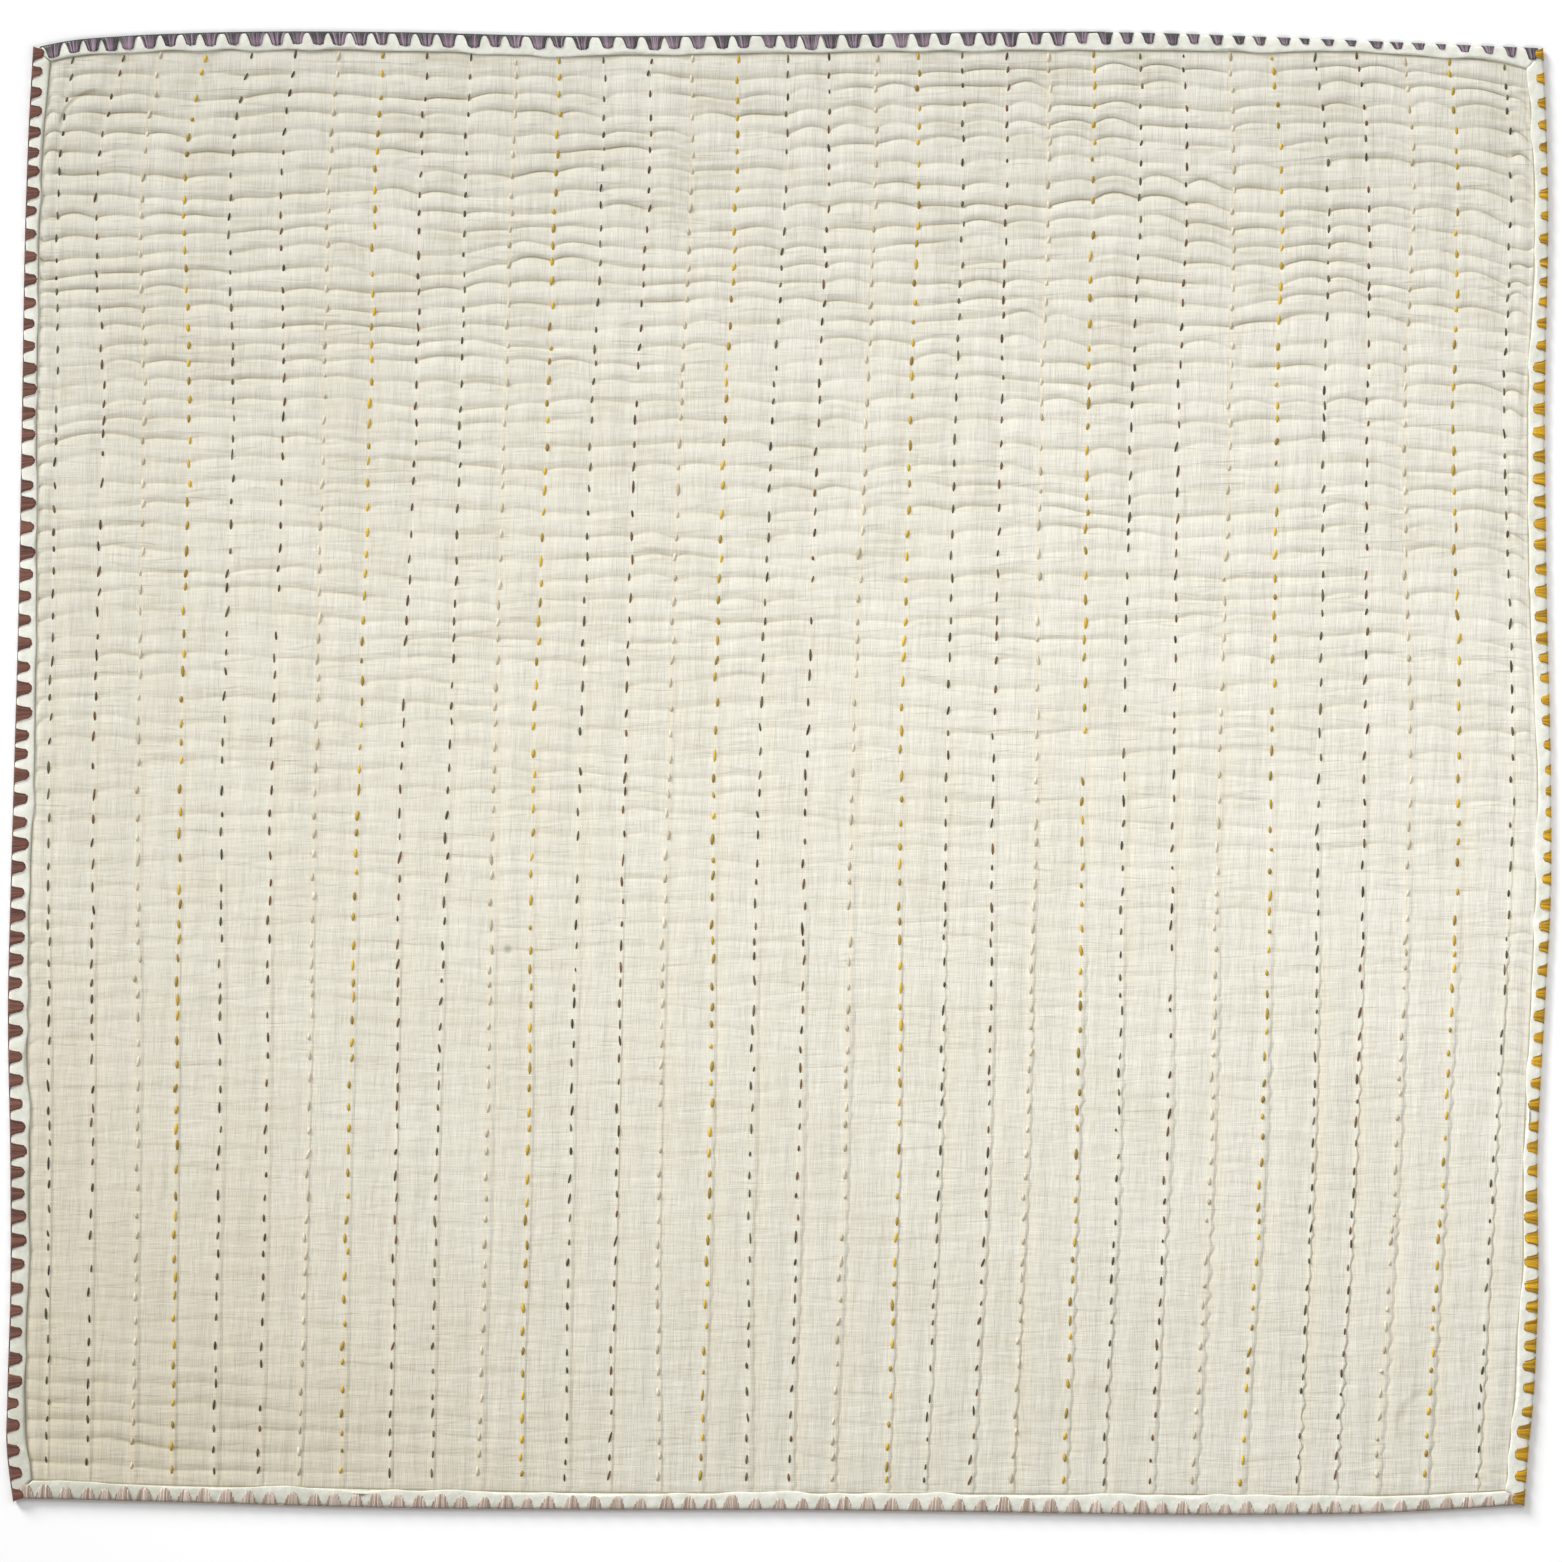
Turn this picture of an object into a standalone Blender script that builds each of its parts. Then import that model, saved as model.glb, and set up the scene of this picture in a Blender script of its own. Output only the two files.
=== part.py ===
"""A hand-quilted muslin baby quilt, laid flat on a surface with its quilting lines running up it.

Pieces: the quilted panel, and four lengths of tape that wrap its edges and meet at mitred corners.
Units are metres, +Z is up. The underside rests on z = 0, and the origin is under the middle of the box.
"""

import math
from collections import namedtuple

import bmesh
import bpy
import numpy as np

MM = 0.001

# Heights above the surface, in millimetres
LINE_TOP = 3.1  # top of the cloth where a quilting line pulls it down
CROWN_TOP = 5.2  # top of the filled channel between two lines
SEAM_TOP = 4.3  # top of the panel where it meets the tape
MARGIN_TOP = 3.45  # the panel's flattened margin inside the tape
MARGIN_FOOT = 1.15

# How far a channel's crown rises and falls along its length, near the top and near the bottom
SWELL_ABOVE = 0.75
SWELL_BELOW = 0.35
SWELL_REACH = 220.0  # height over the middle where the swell has its full size

# The gap that a tape keeps from the panel and from the next tape
GAP = 0.3
MITRE_GAP = GAP / math.sqrt(2)

# How far in from the outer edge the tape's wall and the panel's margin reach, as shares of the rim
# from the outer edge to the panel's own edge. Shares let two sides meet on their mitre.
TAPE_WALL = 0.16
MARGIN_REACH = 0.21

# Steps of the meshes. Along the bottom and top a tape has one step for each channel, and more of
# them by its corners, where its width changes fast.
CHANNEL_STEPS = 3
ROWS = 36
CORNER_STEPS = 6
SHARP_ANGLE = 50.0

# The quilt's outer edge and how wide its tape shows, in millimetres from the quilt's middle.
# Left and right run up the quilt, bottom and top run across it.
Side = namedtuple("Side", "along edge width")
LEFT = (
    Side(-438.5, -463.8, 13.0),
    Side(-425.0, -465.7, 13.0),
    Side(-407.0, -467.4, 12.2),
    Side(-380.0, -467.0, 10.6),
    Side(-313.0, -465.1, 10.2),
    Side(-237.0, -465.1, 11.3),
    Side(-137.0, -466.5, 11.1),
    Side(-77.0, -465.1, 11.3),
    Side(-7.0, -463.1, 11.8),
    Side(105.0, -460.0, 10.3),
    Side(220.0, -458.0, 8.5),
    Side(347.0, -455.6, 8.3),
    Side(401.0, -453.5, 9.4),
    Side(438.5, -451.3, 11.2),
)
RIGHT = (
    Side(-442.2, 451.0, 10.9),
    Side(-407.0, 453.7, 11.3),
    Side(-380.0, 456.4, 11.0),
    Side(-339.0, 458.5, 11.3),
    Side(-313.0, 459.4, 9.6),
    Side(-237.0, 458.8, 7.9),
    Side(-137.0, 463.7, 8.3),
    Side(-77.0, 466.9, 8.9),
    Side(-7.0, 467.1, 7.7),
    Side(105.0, 464.6, 10.0),
    Side(220.0, 463.4, 9.9),
    Side(347.0, 465.3, 7.4),
    Side(401.0, 464.0, 8.6),
    Side(438.5, 462.3, 9.2),
)
BOTTOM = (
    Side(-463.8, -438.5, 10.9),
    Side(-447.0, -438.8, 10.6),
    Side(-405.0, -439.8, 9.7),
    Side(-357.0, -441.0, 9.3),
    Side(-290.0, -443.0, 10.5),
    Side(-229.0, -444.3, 10.3),
    Side(-108.0, -445.3, 9.4),
    Side(13.0, -445.5, 9.5),
    Side(134.0, -447.0, 10.3),
    Side(230.0, -448.3, 11.5),
    Side(303.0, -448.3, 10.8),
    Side(346.0, -447.8, 9.9),
    Side(400.0, -445.5, 9.0),
    Side(430.0, -443.7, 8.6),
    Side(451.0, -442.2, 8.3),
)
TOP = (
    Side(-451.3, 438.5, 10.2),
    Side(-430.0, 442.7, 9.4),
    Side(-398.0, 445.5, 9.0),
    Side(-348.0, 447.6, 9.6),
    Side(-229.0, 447.9, 10.7),
    Side(-139.0, 445.8, 11.2),
    Side(0.0, 446.4, 10.5),
    Side(134.0, 448.1, 10.5),
    Side(218.0, 448.0, 10.5),
    Side(300.0, 445.2, 8.7),
    Side(351.0, 443.2, 6.3),
    Side(378.0, 442.0, 7.2),
    Side(430.0, 439.9, 8.5),
    Side(462.3, 438.5, 14.5),
)

# Each side: its table, which way is inwards, whether it runs up the quilt, and its two corners
Border = namedtuple("Border", "table inward upright start end")
BORDERS = {
    "left": Border(LEFT, 1, True, "left_bottom", "left_top"),
    "right": Border(RIGHT, -1, True, "right_bottom", "right_top"),
    "bottom": Border(BOTTOM, 1, False, "left_bottom", "right_bottom"),
    "top": Border(TOP, -1, False, "left_top", "right_top"),
}

# Where each quilting line runs: its place across the quilt, in millimetres from the middle, at the
# six heights below. The lines lean and wander as a hand sewed them.
LINE_HEIGHTS = (433.0, 395.0, 220.0, -7.0, -237.0, -428.0)
Line = namedtuple("Line", "head neck upper middle lower foot")
LINES = (
    Line(-427.0, -433.0, -437.0, -442.0, -442.0, -443.5),
    Line(-397.0, -407.5, -409.0, -415.0, -416.0, -419.0),
    Line(-374.0, -381.5, -384.5, -388.0, -388.5, -392.0),
    Line(-347.5, -355.5, -357.0, -362.5, -365.0, -367.5),
    Line(-319.5, -328.0, -330.5, -337.0, -339.0, -342.5),
    Line(-293.0, -298.5, -300.0, -307.5, -311.0, -315.0),
    Line(-267.0, -270.5, -275.5, -281.0, -285.5, -291.0),
    Line(-239.5, -242.5, -247.5, -254.5, -261.0, -265.5),
    Line(-213.0, -215.5, -219.5, -229.0, -232.0, -236.0),
    Line(-186.5, -188.5, -192.5, -200.0, -207.5, -210.5),
    Line(-159.0, -160.5, -166.0, -173.0, -177.0, -182.0),
    Line(-133.0, -134.0, -140.0, -149.0, -152.0, -157.0),
    Line(-106.0, -106.0, -113.0, -121.0, -126.5, -129.5),
    Line(-78.0, -78.0, -86.5, -93.5, -98.0, -103.0),
    Line(-52.5, -52.5, -59.5, -67.0, -73.0, -73.0),
    Line(-25.0, -25.0, -32.5, -39.5, -42.0, -48.0),
    Line(5.0, 5.0, -3.5, -12.0, -17.5, -19.5),
    Line(30.0, 30.5, 24.0, 16.5, 12.0, 6.0),
    Line(58.5, 58.5, 53.0, 44.0, 39.5, 31.5),
    Line(84.5, 84.5, 80.0, 73.5, 72.0, 64.5),
    Line(111.0, 111.5, 107.0, 101.5, 97.0, 88.0),
    Line(138.0, 138.0, 134.5, 129.5, 126.0, 115.5),
    Line(163.0, 163.5, 158.5, 155.5, 149.5, 140.5),
    Line(190.5, 190.5, 187.0, 184.0, 180.0, 172.0),
    Line(218.5, 219.0, 213.5, 208.5, 204.5, 196.0),
    Line(244.5, 246.5, 242.0, 238.5, 234.5, 224.5),
    Line(273.0, 274.5, 273.0, 266.0, 261.0, 250.0),
    Line(298.0, 302.0, 301.5, 298.0, 292.0, 279.0),
    Line(324.0, 329.5, 330.0, 327.0, 323.0, 313.5),
    Line(350.5, 354.5, 356.0, 354.5, 348.5, 336.5),
    Line(378.5, 382.5, 378.5, 381.5, 373.0, 361.0),
    Line(405.5, 409.0, 408.0, 411.5, 402.0, 390.5),
    Line(438.5, 442.0, 439.0, 444.0, 432.5, 422.0),
)

# Two depths into the rim: the panel's own edge, and the tape's inner lip a gap outside it
PANEL_EDGE = 1.0
TAPE_LIP = "tape lip"

# The tape's section: share of the rim in from the outer edge, and height above the surface
Point = namedtuple("Point", "depth height")
TAPE_SECTION = (
    Point(TAPE_LIP, 0.0),
    Point(0.12, 0.0),
    Point(0.035, 0.5),
    Point(0.0, 1.5),
    Point(0.0, 3.0),
    Point(0.04, 4.1),
    Point(0.14, 4.7),
    Point(0.42, 4.95),
    Point(TAPE_LIP, 4.55),
    Point(TAPE_LIP, MARGIN_TOP + GAP),
    Point(TAPE_WALL, MARGIN_TOP + GAP),
    Point(TAPE_WALL, MARGIN_FOOT - GAP),
    Point(TAPE_LIP, MARGIN_FOOT - GAP),
)

# The panel's steps from its top face, round the margin inside the tape, to its underside
MARGIN_STEPS = (
    Point(PANEL_EDGE, MARGIN_TOP),
    Point(MARGIN_REACH, MARGIN_TOP),
    Point(MARGIN_REACH, MARGIN_FOOT),
    Point(PANEL_EDGE, MARGIN_FOOT),
    Point(PANEL_EDGE, 0.0),
)

# Name, colour and roughness of each cloth
MUSLIN = ("muslin", (0.80, 0.77, 0.67, 1.0), 0.92)
TAPE_CLOTH = ("cotton_tape", (0.84, 0.85, 0.84, 1.0), 0.85)


def smooth(places, values, at):
    """Value at one place on the smooth curve through a table's places and values."""
    places, values = np.array(places), np.array(values)
    slopes = np.gradient(values, places)
    i = int(np.clip(np.searchsorted(places, at) - 1, 0, len(places) - 2))
    span = places[i + 1] - places[i]
    t = (at - places[i]) / span
    start = (1 + 2 * t) * (1 - t) ** 2 * values[i] + t * (1 - t) ** 2 * span * slopes[i]
    end = t * t * (3 - 2 * t) * values[i + 1] + t * t * (t - 1) * span * slopes[i + 1]
    return float(start + end)


def edge_at(side, along):
    return smooth([row.along for row in side], [row.edge for row in side], along)


def width_at(side, along):
    return smooth([row.along for row in side], [row.width for row in side], along)


def panel_edge_at(side_name, along):
    """The panel's own edge on one side, a gap inside the tape's lip."""
    border = BORDERS[side_name]
    inset = width_at(border.table, along) + GAP
    return edge_at(border.table, along) + border.inward * inset


def panel_corner(upright_name, level_name):
    """Where two of the panel's edges meet, found by going from one to the other a few times."""
    x = 0.0
    y = BORDERS[level_name].table[0].edge
    for _ in range(10):
        x = panel_edge_at(upright_name, y)
        y = panel_edge_at(level_name, x)
    return x, y


CORNERS = {
    upright + "_" + level: panel_corner(upright, level)
    for upright in ("left", "right")
    for level in ("bottom", "top")
}


def rim_point(side_name, share_along, depth):
    """A point of the rim: its share of the way along a side, and of the way in from the outer edge.

    The points of a side's two ends lie on its mitres.
    """
    border = BORDERS[side_name]
    side = border.table
    outer_along = side[0].along + share_along * (side[-1].along - side[0].along)
    start, end = (CORNERS[name][1 if border.upright else 0] for name in (border.start, border.end))
    inner_along = start + share_along * (end - start)
    outer = (outer_along, edge_at(side, outer_along))
    inner = (inner_along, panel_edge_at(side_name, inner_along))
    if depth == TAPE_LIP:
        width = width_at(side, inner_along)
        depth = width / (width + GAP)
    along = outer[0] + depth * (inner[0] - outer[0])
    across = outer[1] + depth * (inner[1] - outer[1])
    return (across, along) if border.upright else (along, across)


def column_places():
    """Each column of the panel: the lines on either side of it and its share of the way between."""
    places = []
    for channel in range(len(LINES) + 1):
        for step in range(CHANNEL_STEPS):
            places.append((channel - 1, channel, step / CHANNEL_STEPS))
    places.append((len(LINES), len(LINES), 0.0))
    return places


def line_x(index, height):
    """Place across of a line, or of the panel's side edge outside the first and last lines."""
    if index < 0:
        return panel_edge_at("left", height)
    if index >= len(LINES):
        return panel_edge_at("right", height)
    return smooth(LINE_HEIGHTS[::-1], LINES[index][::-1], height)


def column_x(place, height):
    before, after, share = place
    return line_x(before, height) * (1 - share) + line_x(after, height) * share


def column_end(place, side_name):
    """The height at which a column ends on the panel's bottom or top edge."""
    height = BORDERS[side_name].table[0].edge
    for _ in range(10):
        height = panel_edge_at(side_name, column_x(place, height))
    return height


def swell(channel, row, height):
    """How much a channel's crown rises or falls here: uneven puffs, livelier towards the top."""
    lively = min(max((height + SWELL_REACH) / (2 * SWELL_REACH), 0.0), 1.0)
    size = SWELL_BELOW + (SWELL_ABOVE - SWELL_BELOW) * lively
    slow = math.sin(0.9 * channel + 2.1 * row)
    quick = math.sin(2.3 * channel - 1.3 * row + 0.7)
    return size * (0.6 * slow + 0.4 * quick)


def top_height(place, row, height):
    """Top of the cloth at a column and row: low on the lines, crowned between them."""
    before, _, share = place
    on_side = share == 0 and before in (-1, len(LINES))
    if row in (0, ROWS) or on_side:
        return SEAM_TOP
    if share == 0:
        return LINE_TOP
    return CROWN_TOP + swell(before + 1, row, height)


def panel_grid():
    """Points of the panel's top face, by row from the bottom and by column from the left."""
    rows = [[] for _ in range(ROWS + 1)]
    for place in column_places():
        foot, head = column_end(place, "bottom"), column_end(place, "top")
        for row, points in enumerate(rows):
            height = foot + (head - foot) * row / ROWS
            points.append((column_x(place, height), height, top_height(place, row, height)))
    return rows


def shares_along(values):
    """Each value's share of the way from the first of them to the last."""
    return [(value - values[0]) / (values[-1] - values[0]) for value in values]


def side_shares(rows):
    """For each side, the shares along it of the points where the top face's edge has its vertices."""
    return {
        "left": shares_along([row[0][1] for row in rows]),
        "right": shares_along([row[-1][1] for row in rows]),
        "bottom": shares_along([point[0] for point in rows[0]]),
        "top": shares_along([point[0] for point in rows[-1]]),
    }


def boundary(shares):
    """The top face's edge, anticlockwise: each point's row, column, side and share along the side."""
    last = len(shares["bottom"]) - 1
    loop = [(0, i, "bottom", shares["bottom"][i]) for i in range(last)]
    loop += [(i, last, "right", shares["right"][i]) for i in range(ROWS)]
    loop += [(ROWS, i, "top", shares["top"][i]) for i in range(last, 0, -1)]
    loop += [(i, 0, "left", shares["left"][i]) for i in range(ROWS, 0, -1)]
    return loop


def bridge(mesh, first, second):
    """A closed band of faces between two rings of as many vertices."""
    count = len(first)
    for i in range(count):
        j = (i + 1) % count
        mesh.faces.new((first[j], first[i], second[i], second[j]))


def finished_object(name, mesh, material, collection):
    """Turns the working mesh into an object with outward faces, smooth but for its sharp turns."""
    bmesh.ops.recalc_face_normals(mesh, faces=mesh.faces)
    data = bpy.data.meshes.new(name)
    mesh.to_mesh(data)
    mesh.free()
    data.shade_smooth()
    data.set_sharp_from_angle(angle=math.radians(SHARP_ANGLE))
    data.materials.append(material)
    part = bpy.data.objects.new(name, data)
    collection.objects.link(part)
    return part


def cloth_material(name, colour, roughness):
    material = bpy.data.materials.new(name)
    material.use_nodes = True
    shader = material.node_tree.nodes["Principled BSDF"]
    shader.inputs["Base Color"].default_value = colour
    shader.inputs["Roughness"].default_value = roughness
    shader.inputs["Metallic"].default_value = 0.0
    return material


def quilted_panel(rows, shares, collection, material):
    """The filled panel: channels on top, a thin margin all round inside the tape, flat underneath."""
    mesh = bmesh.new()
    net = [[mesh.verts.new((x * MM, y * MM, z * MM)) for x, y, z in row] for row in rows]
    for lower, upper in zip(net, net[1:]):
        for i in range(len(lower) - 1):
            mesh.faces.new((lower[i], lower[i + 1], upper[i + 1], upper[i]))
    loop = boundary(shares)
    ring = [net[row][column] for row, column, _, _ in loop]
    for step in MARGIN_STEPS:
        places = [rim_point(side_name, share, step.depth) for _, _, side_name, share in loop]
        inner = [mesh.verts.new((x * MM, y * MM, step.height * MM)) for x, y in places]
        bridge(mesh, ring, inner)
        ring = inner
    underside = mesh.faces.new(ring)
    bmesh.ops.triangulate(mesh, faces=[underside], ngon_method="BEAUTY")
    return finished_object("quilt_panel", mesh, material, collection)


def tape_shares(shares, upright):
    """The tape's steps: all the panel's steps up a side, or one a channel and more by the corners."""
    last = len(shares) - 1
    return [
        share
        for i, share in enumerate(shares)
        if upright or i % CHANNEL_STEPS == 0 or min(i, last - i) < CORNER_STEPS
    ]


def drawn_in(place, side_name, share):
    """Moves a point of the tape off its mitre, so that two tapes stay a gap apart."""
    x, y = place
    pull = MITRE_GAP * (1 - 2 * share)
    return (x, y + pull) if BORDERS[side_name].upright else (x + pull, y)


def binding_tape(side_name, shares, collection, material):
    """One length of tape folded round an edge: two flaps and a rolled outer fold, cut to its mitres."""
    mesh = bmesh.new()
    rings = []
    for share in tape_shares(shares, BORDERS[side_name].upright):
        ring = []
        for point in TAPE_SECTION:
            x, y = drawn_in(rim_point(side_name, share, point.depth), side_name, share)
            ring.append(mesh.verts.new((x * MM, y * MM, point.height * MM)))
        rings.append(ring)
    for first, second in zip(rings, rings[1:]):
        bridge(mesh, first, second)
    mesh.faces.new(rings[0])
    mesh.faces.new(rings[-1])
    return finished_object("binding_" + side_name, mesh, material, collection)


def centre_on_origin(parts):
    """Moves all the meshes so that the box of the whole quilt stands on the origin."""
    points = np.array([vertex.co for part in parts for vertex in part.data.vertices])
    middle = (points.min(axis=0) + points.max(axis=0)) / 2
    for part in parts:
        for vertex in part.data.vertices:
            vertex.co.x -= middle[0]
            vertex.co.y -= middle[1]


def clear_scene():
    for thing in list(bpy.data.objects):
        bpy.data.objects.remove(thing, do_unlink=True)


def main():
    clear_scene()
    quilt = bpy.data.collections.new("baby_quilt")
    bpy.context.scene.collection.children.link(quilt)
    rows = panel_grid()
    shares = side_shares(rows)
    parts = [quilted_panel(rows, shares, quilt, cloth_material(*MUSLIN))]
    for side_name in BORDERS:
        name, colour, roughness = TAPE_CLOTH
        cloth = cloth_material(name + "_" + side_name, colour, roughness)
        parts.append(binding_tape(side_name, shares[side_name], quilt, cloth))
    centre_on_origin(parts)


main()
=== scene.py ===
"""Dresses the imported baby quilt: crinkled muslin sewn in rows of coloured running stitch, bound
with a cotton tape whose edge is satin-stitched in scallops, on a pale floor seen from above.

Tables and sizes are in millimetres from the quilt's middle, +X to the right and +Y up the picture.
Meshes are in metres.
"""

import logging
import math
from collections.abc import Iterable
from dataclasses import dataclass
from enum import Enum
from typing import NamedTuple

import bmesh
import bpy
import numpy as np
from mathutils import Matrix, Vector


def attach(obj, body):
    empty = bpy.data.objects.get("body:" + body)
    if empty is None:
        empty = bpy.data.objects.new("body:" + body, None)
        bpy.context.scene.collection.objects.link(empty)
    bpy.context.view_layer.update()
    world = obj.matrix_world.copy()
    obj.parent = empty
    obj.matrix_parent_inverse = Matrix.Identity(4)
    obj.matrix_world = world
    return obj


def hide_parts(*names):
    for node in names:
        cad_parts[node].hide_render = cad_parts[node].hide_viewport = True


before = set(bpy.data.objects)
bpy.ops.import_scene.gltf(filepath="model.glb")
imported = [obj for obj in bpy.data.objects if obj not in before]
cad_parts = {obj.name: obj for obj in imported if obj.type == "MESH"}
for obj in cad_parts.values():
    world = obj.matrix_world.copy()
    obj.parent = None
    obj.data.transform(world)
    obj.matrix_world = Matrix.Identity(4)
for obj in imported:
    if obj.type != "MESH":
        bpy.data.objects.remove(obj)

log = logging.getLogger("baby_quilt")
Array = np.ndarray
Tree = bpy.types.NodeTree
Socket = bpy.types.NodeSocket
Pair = tuple[float, float]
Triple = tuple[float, float, float]
Table = tuple[tuple[float, ...], ...]
# Two values, and the amount at each of them
Span = tuple[float, float, float, float]
MM = 0.001
# How high the cloth lies over the floor, about
CLOTH_HEIGHT = 4.0
# Cotton cloth hardly shines
CLOTH_SPECULAR = 0.2
SMOOTH = {"interpolation_type": "SMOOTHSTEP"}
ADD_CLAMPED = {"operation": "MULTIPLY_ADD", "use_clamp": True}


class Edge(NamedTuple):
    """The outer edge and the visible width of the tape at a place along a side."""

    along: float
    edge: float
    width: float


class Line(NamedTuple):
    """Where a row of quilting crosses six heights, counted from the top."""

    head: float
    neck: float
    upper: float
    middle: float
    lower: float
    foot: float


class Relief(NamedTuple):
    """How the cloth between two rows of quilting is ruffled at a height.

    crease is the depth of the valleys that run from stitch to stitch, ridge the height of the thin
    welts that take their place further down, seam the height of the rib along a row.
    """

    height: float
    crease: float
    ridge: float
    seam: float


class SoftFold(NamedTuple):
    """A soft upright fold beside a row of quilting: its row, how far right, its ends and height."""

    line: int
    right: float
    top: float
    bottom: float
    rise: float


class ArcCrease(NamedTuple):
    """A single crease that bends: its circle, and the middle and reach of the part that shows."""

    centre: Pair
    radius: float
    middle: Pair
    reach: float
    width: float
    depth: float


class Scallop(NamedTuple):
    """The scallops at a place along a side: from one to the next, their base and their length."""

    along: float
    pitch: float
    base: float
    length: float


class Spread(NamedTuple):
    """Unevenness: how much, and how far its humps reach over the first and the second axis."""

    amount: float
    across: float
    along: float


class Section(NamedTuple):
    """A point of the tape's section: its share of the rim inwards, and its height."""

    depth: float
    height: float


class Thread(Enum):
    """The colours of the quilting threads, in the order in which they take turns."""

    SLATE = "slate"
    BROWN = "brown"
    NATURAL = "natural"
    MUSTARD = "mustard"


LEFT_EDGE = (
    Edge(-438.5, -463.8, 13.0),
    Edge(-425.0, -465.7, 13.0),
    Edge(-407.0, -467.4, 12.2),
    Edge(-380.0, -467.0, 10.6),
    Edge(-313.0, -465.1, 10.2),
    Edge(-237.0, -465.1, 11.3),
    Edge(-137.0, -466.5, 11.1),
    Edge(-77.0, -465.1, 11.3),
    Edge(-7.0, -463.1, 11.8),
    Edge(105.0, -460.0, 10.3),
    Edge(220.0, -458.0, 8.5),
    Edge(347.0, -455.6, 8.3),
    Edge(401.0, -453.5, 9.4),
    Edge(438.5, -451.3, 11.2),
)
RIGHT_EDGE = (
    Edge(-442.2, 451.0, 10.9),
    Edge(-407.0, 453.7, 11.3),
    Edge(-380.0, 456.4, 11.0),
    Edge(-339.0, 458.5, 11.3),
    Edge(-313.0, 459.4, 9.6),
    Edge(-237.0, 458.8, 7.9),
    Edge(-137.0, 463.7, 8.3),
    Edge(-77.0, 466.9, 8.9),
    Edge(-7.0, 467.1, 7.7),
    Edge(105.0, 464.6, 10.0),
    Edge(220.0, 463.4, 9.9),
    Edge(347.0, 465.3, 7.4),
    Edge(401.0, 464.0, 8.6),
    Edge(438.5, 462.3, 9.2),
)
BOTTOM_EDGE = (
    Edge(-463.8, -438.5, 10.9),
    Edge(-447.0, -438.8, 10.6),
    Edge(-405.0, -439.8, 9.7),
    Edge(-357.0, -441.0, 9.3),
    Edge(-290.0, -443.0, 10.5),
    Edge(-229.0, -444.3, 10.3),
    Edge(-108.0, -445.3, 9.4),
    Edge(13.0, -445.5, 9.5),
    Edge(134.0, -447.0, 10.3),
    Edge(230.0, -448.3, 11.5),
    Edge(303.0, -448.3, 10.8),
    Edge(346.0, -447.8, 9.9),
    Edge(400.0, -445.5, 9.0),
    Edge(430.0, -443.7, 8.6),
    Edge(451.0, -442.2, 8.3),
)
TOP_EDGE = (
    Edge(-451.3, 438.5, 10.2),
    Edge(-430.0, 442.7, 9.4),
    Edge(-398.0, 445.5, 9.0),
    Edge(-348.0, 447.6, 9.6),
    Edge(-229.0, 447.9, 10.7),
    Edge(-139.0, 445.8, 11.2),
    Edge(0.0, 446.4, 10.5),
    Edge(134.0, 448.1, 10.5),
    Edge(218.0, 448.0, 10.5),
    Edge(300.0, 445.2, 8.7),
    Edge(351.0, 443.2, 6.3),
    Edge(378.0, 442.0, 7.2),
    Edge(430.0, 439.9, 8.5),
    Edge(462.3, 438.5, 14.5),
)

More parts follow.
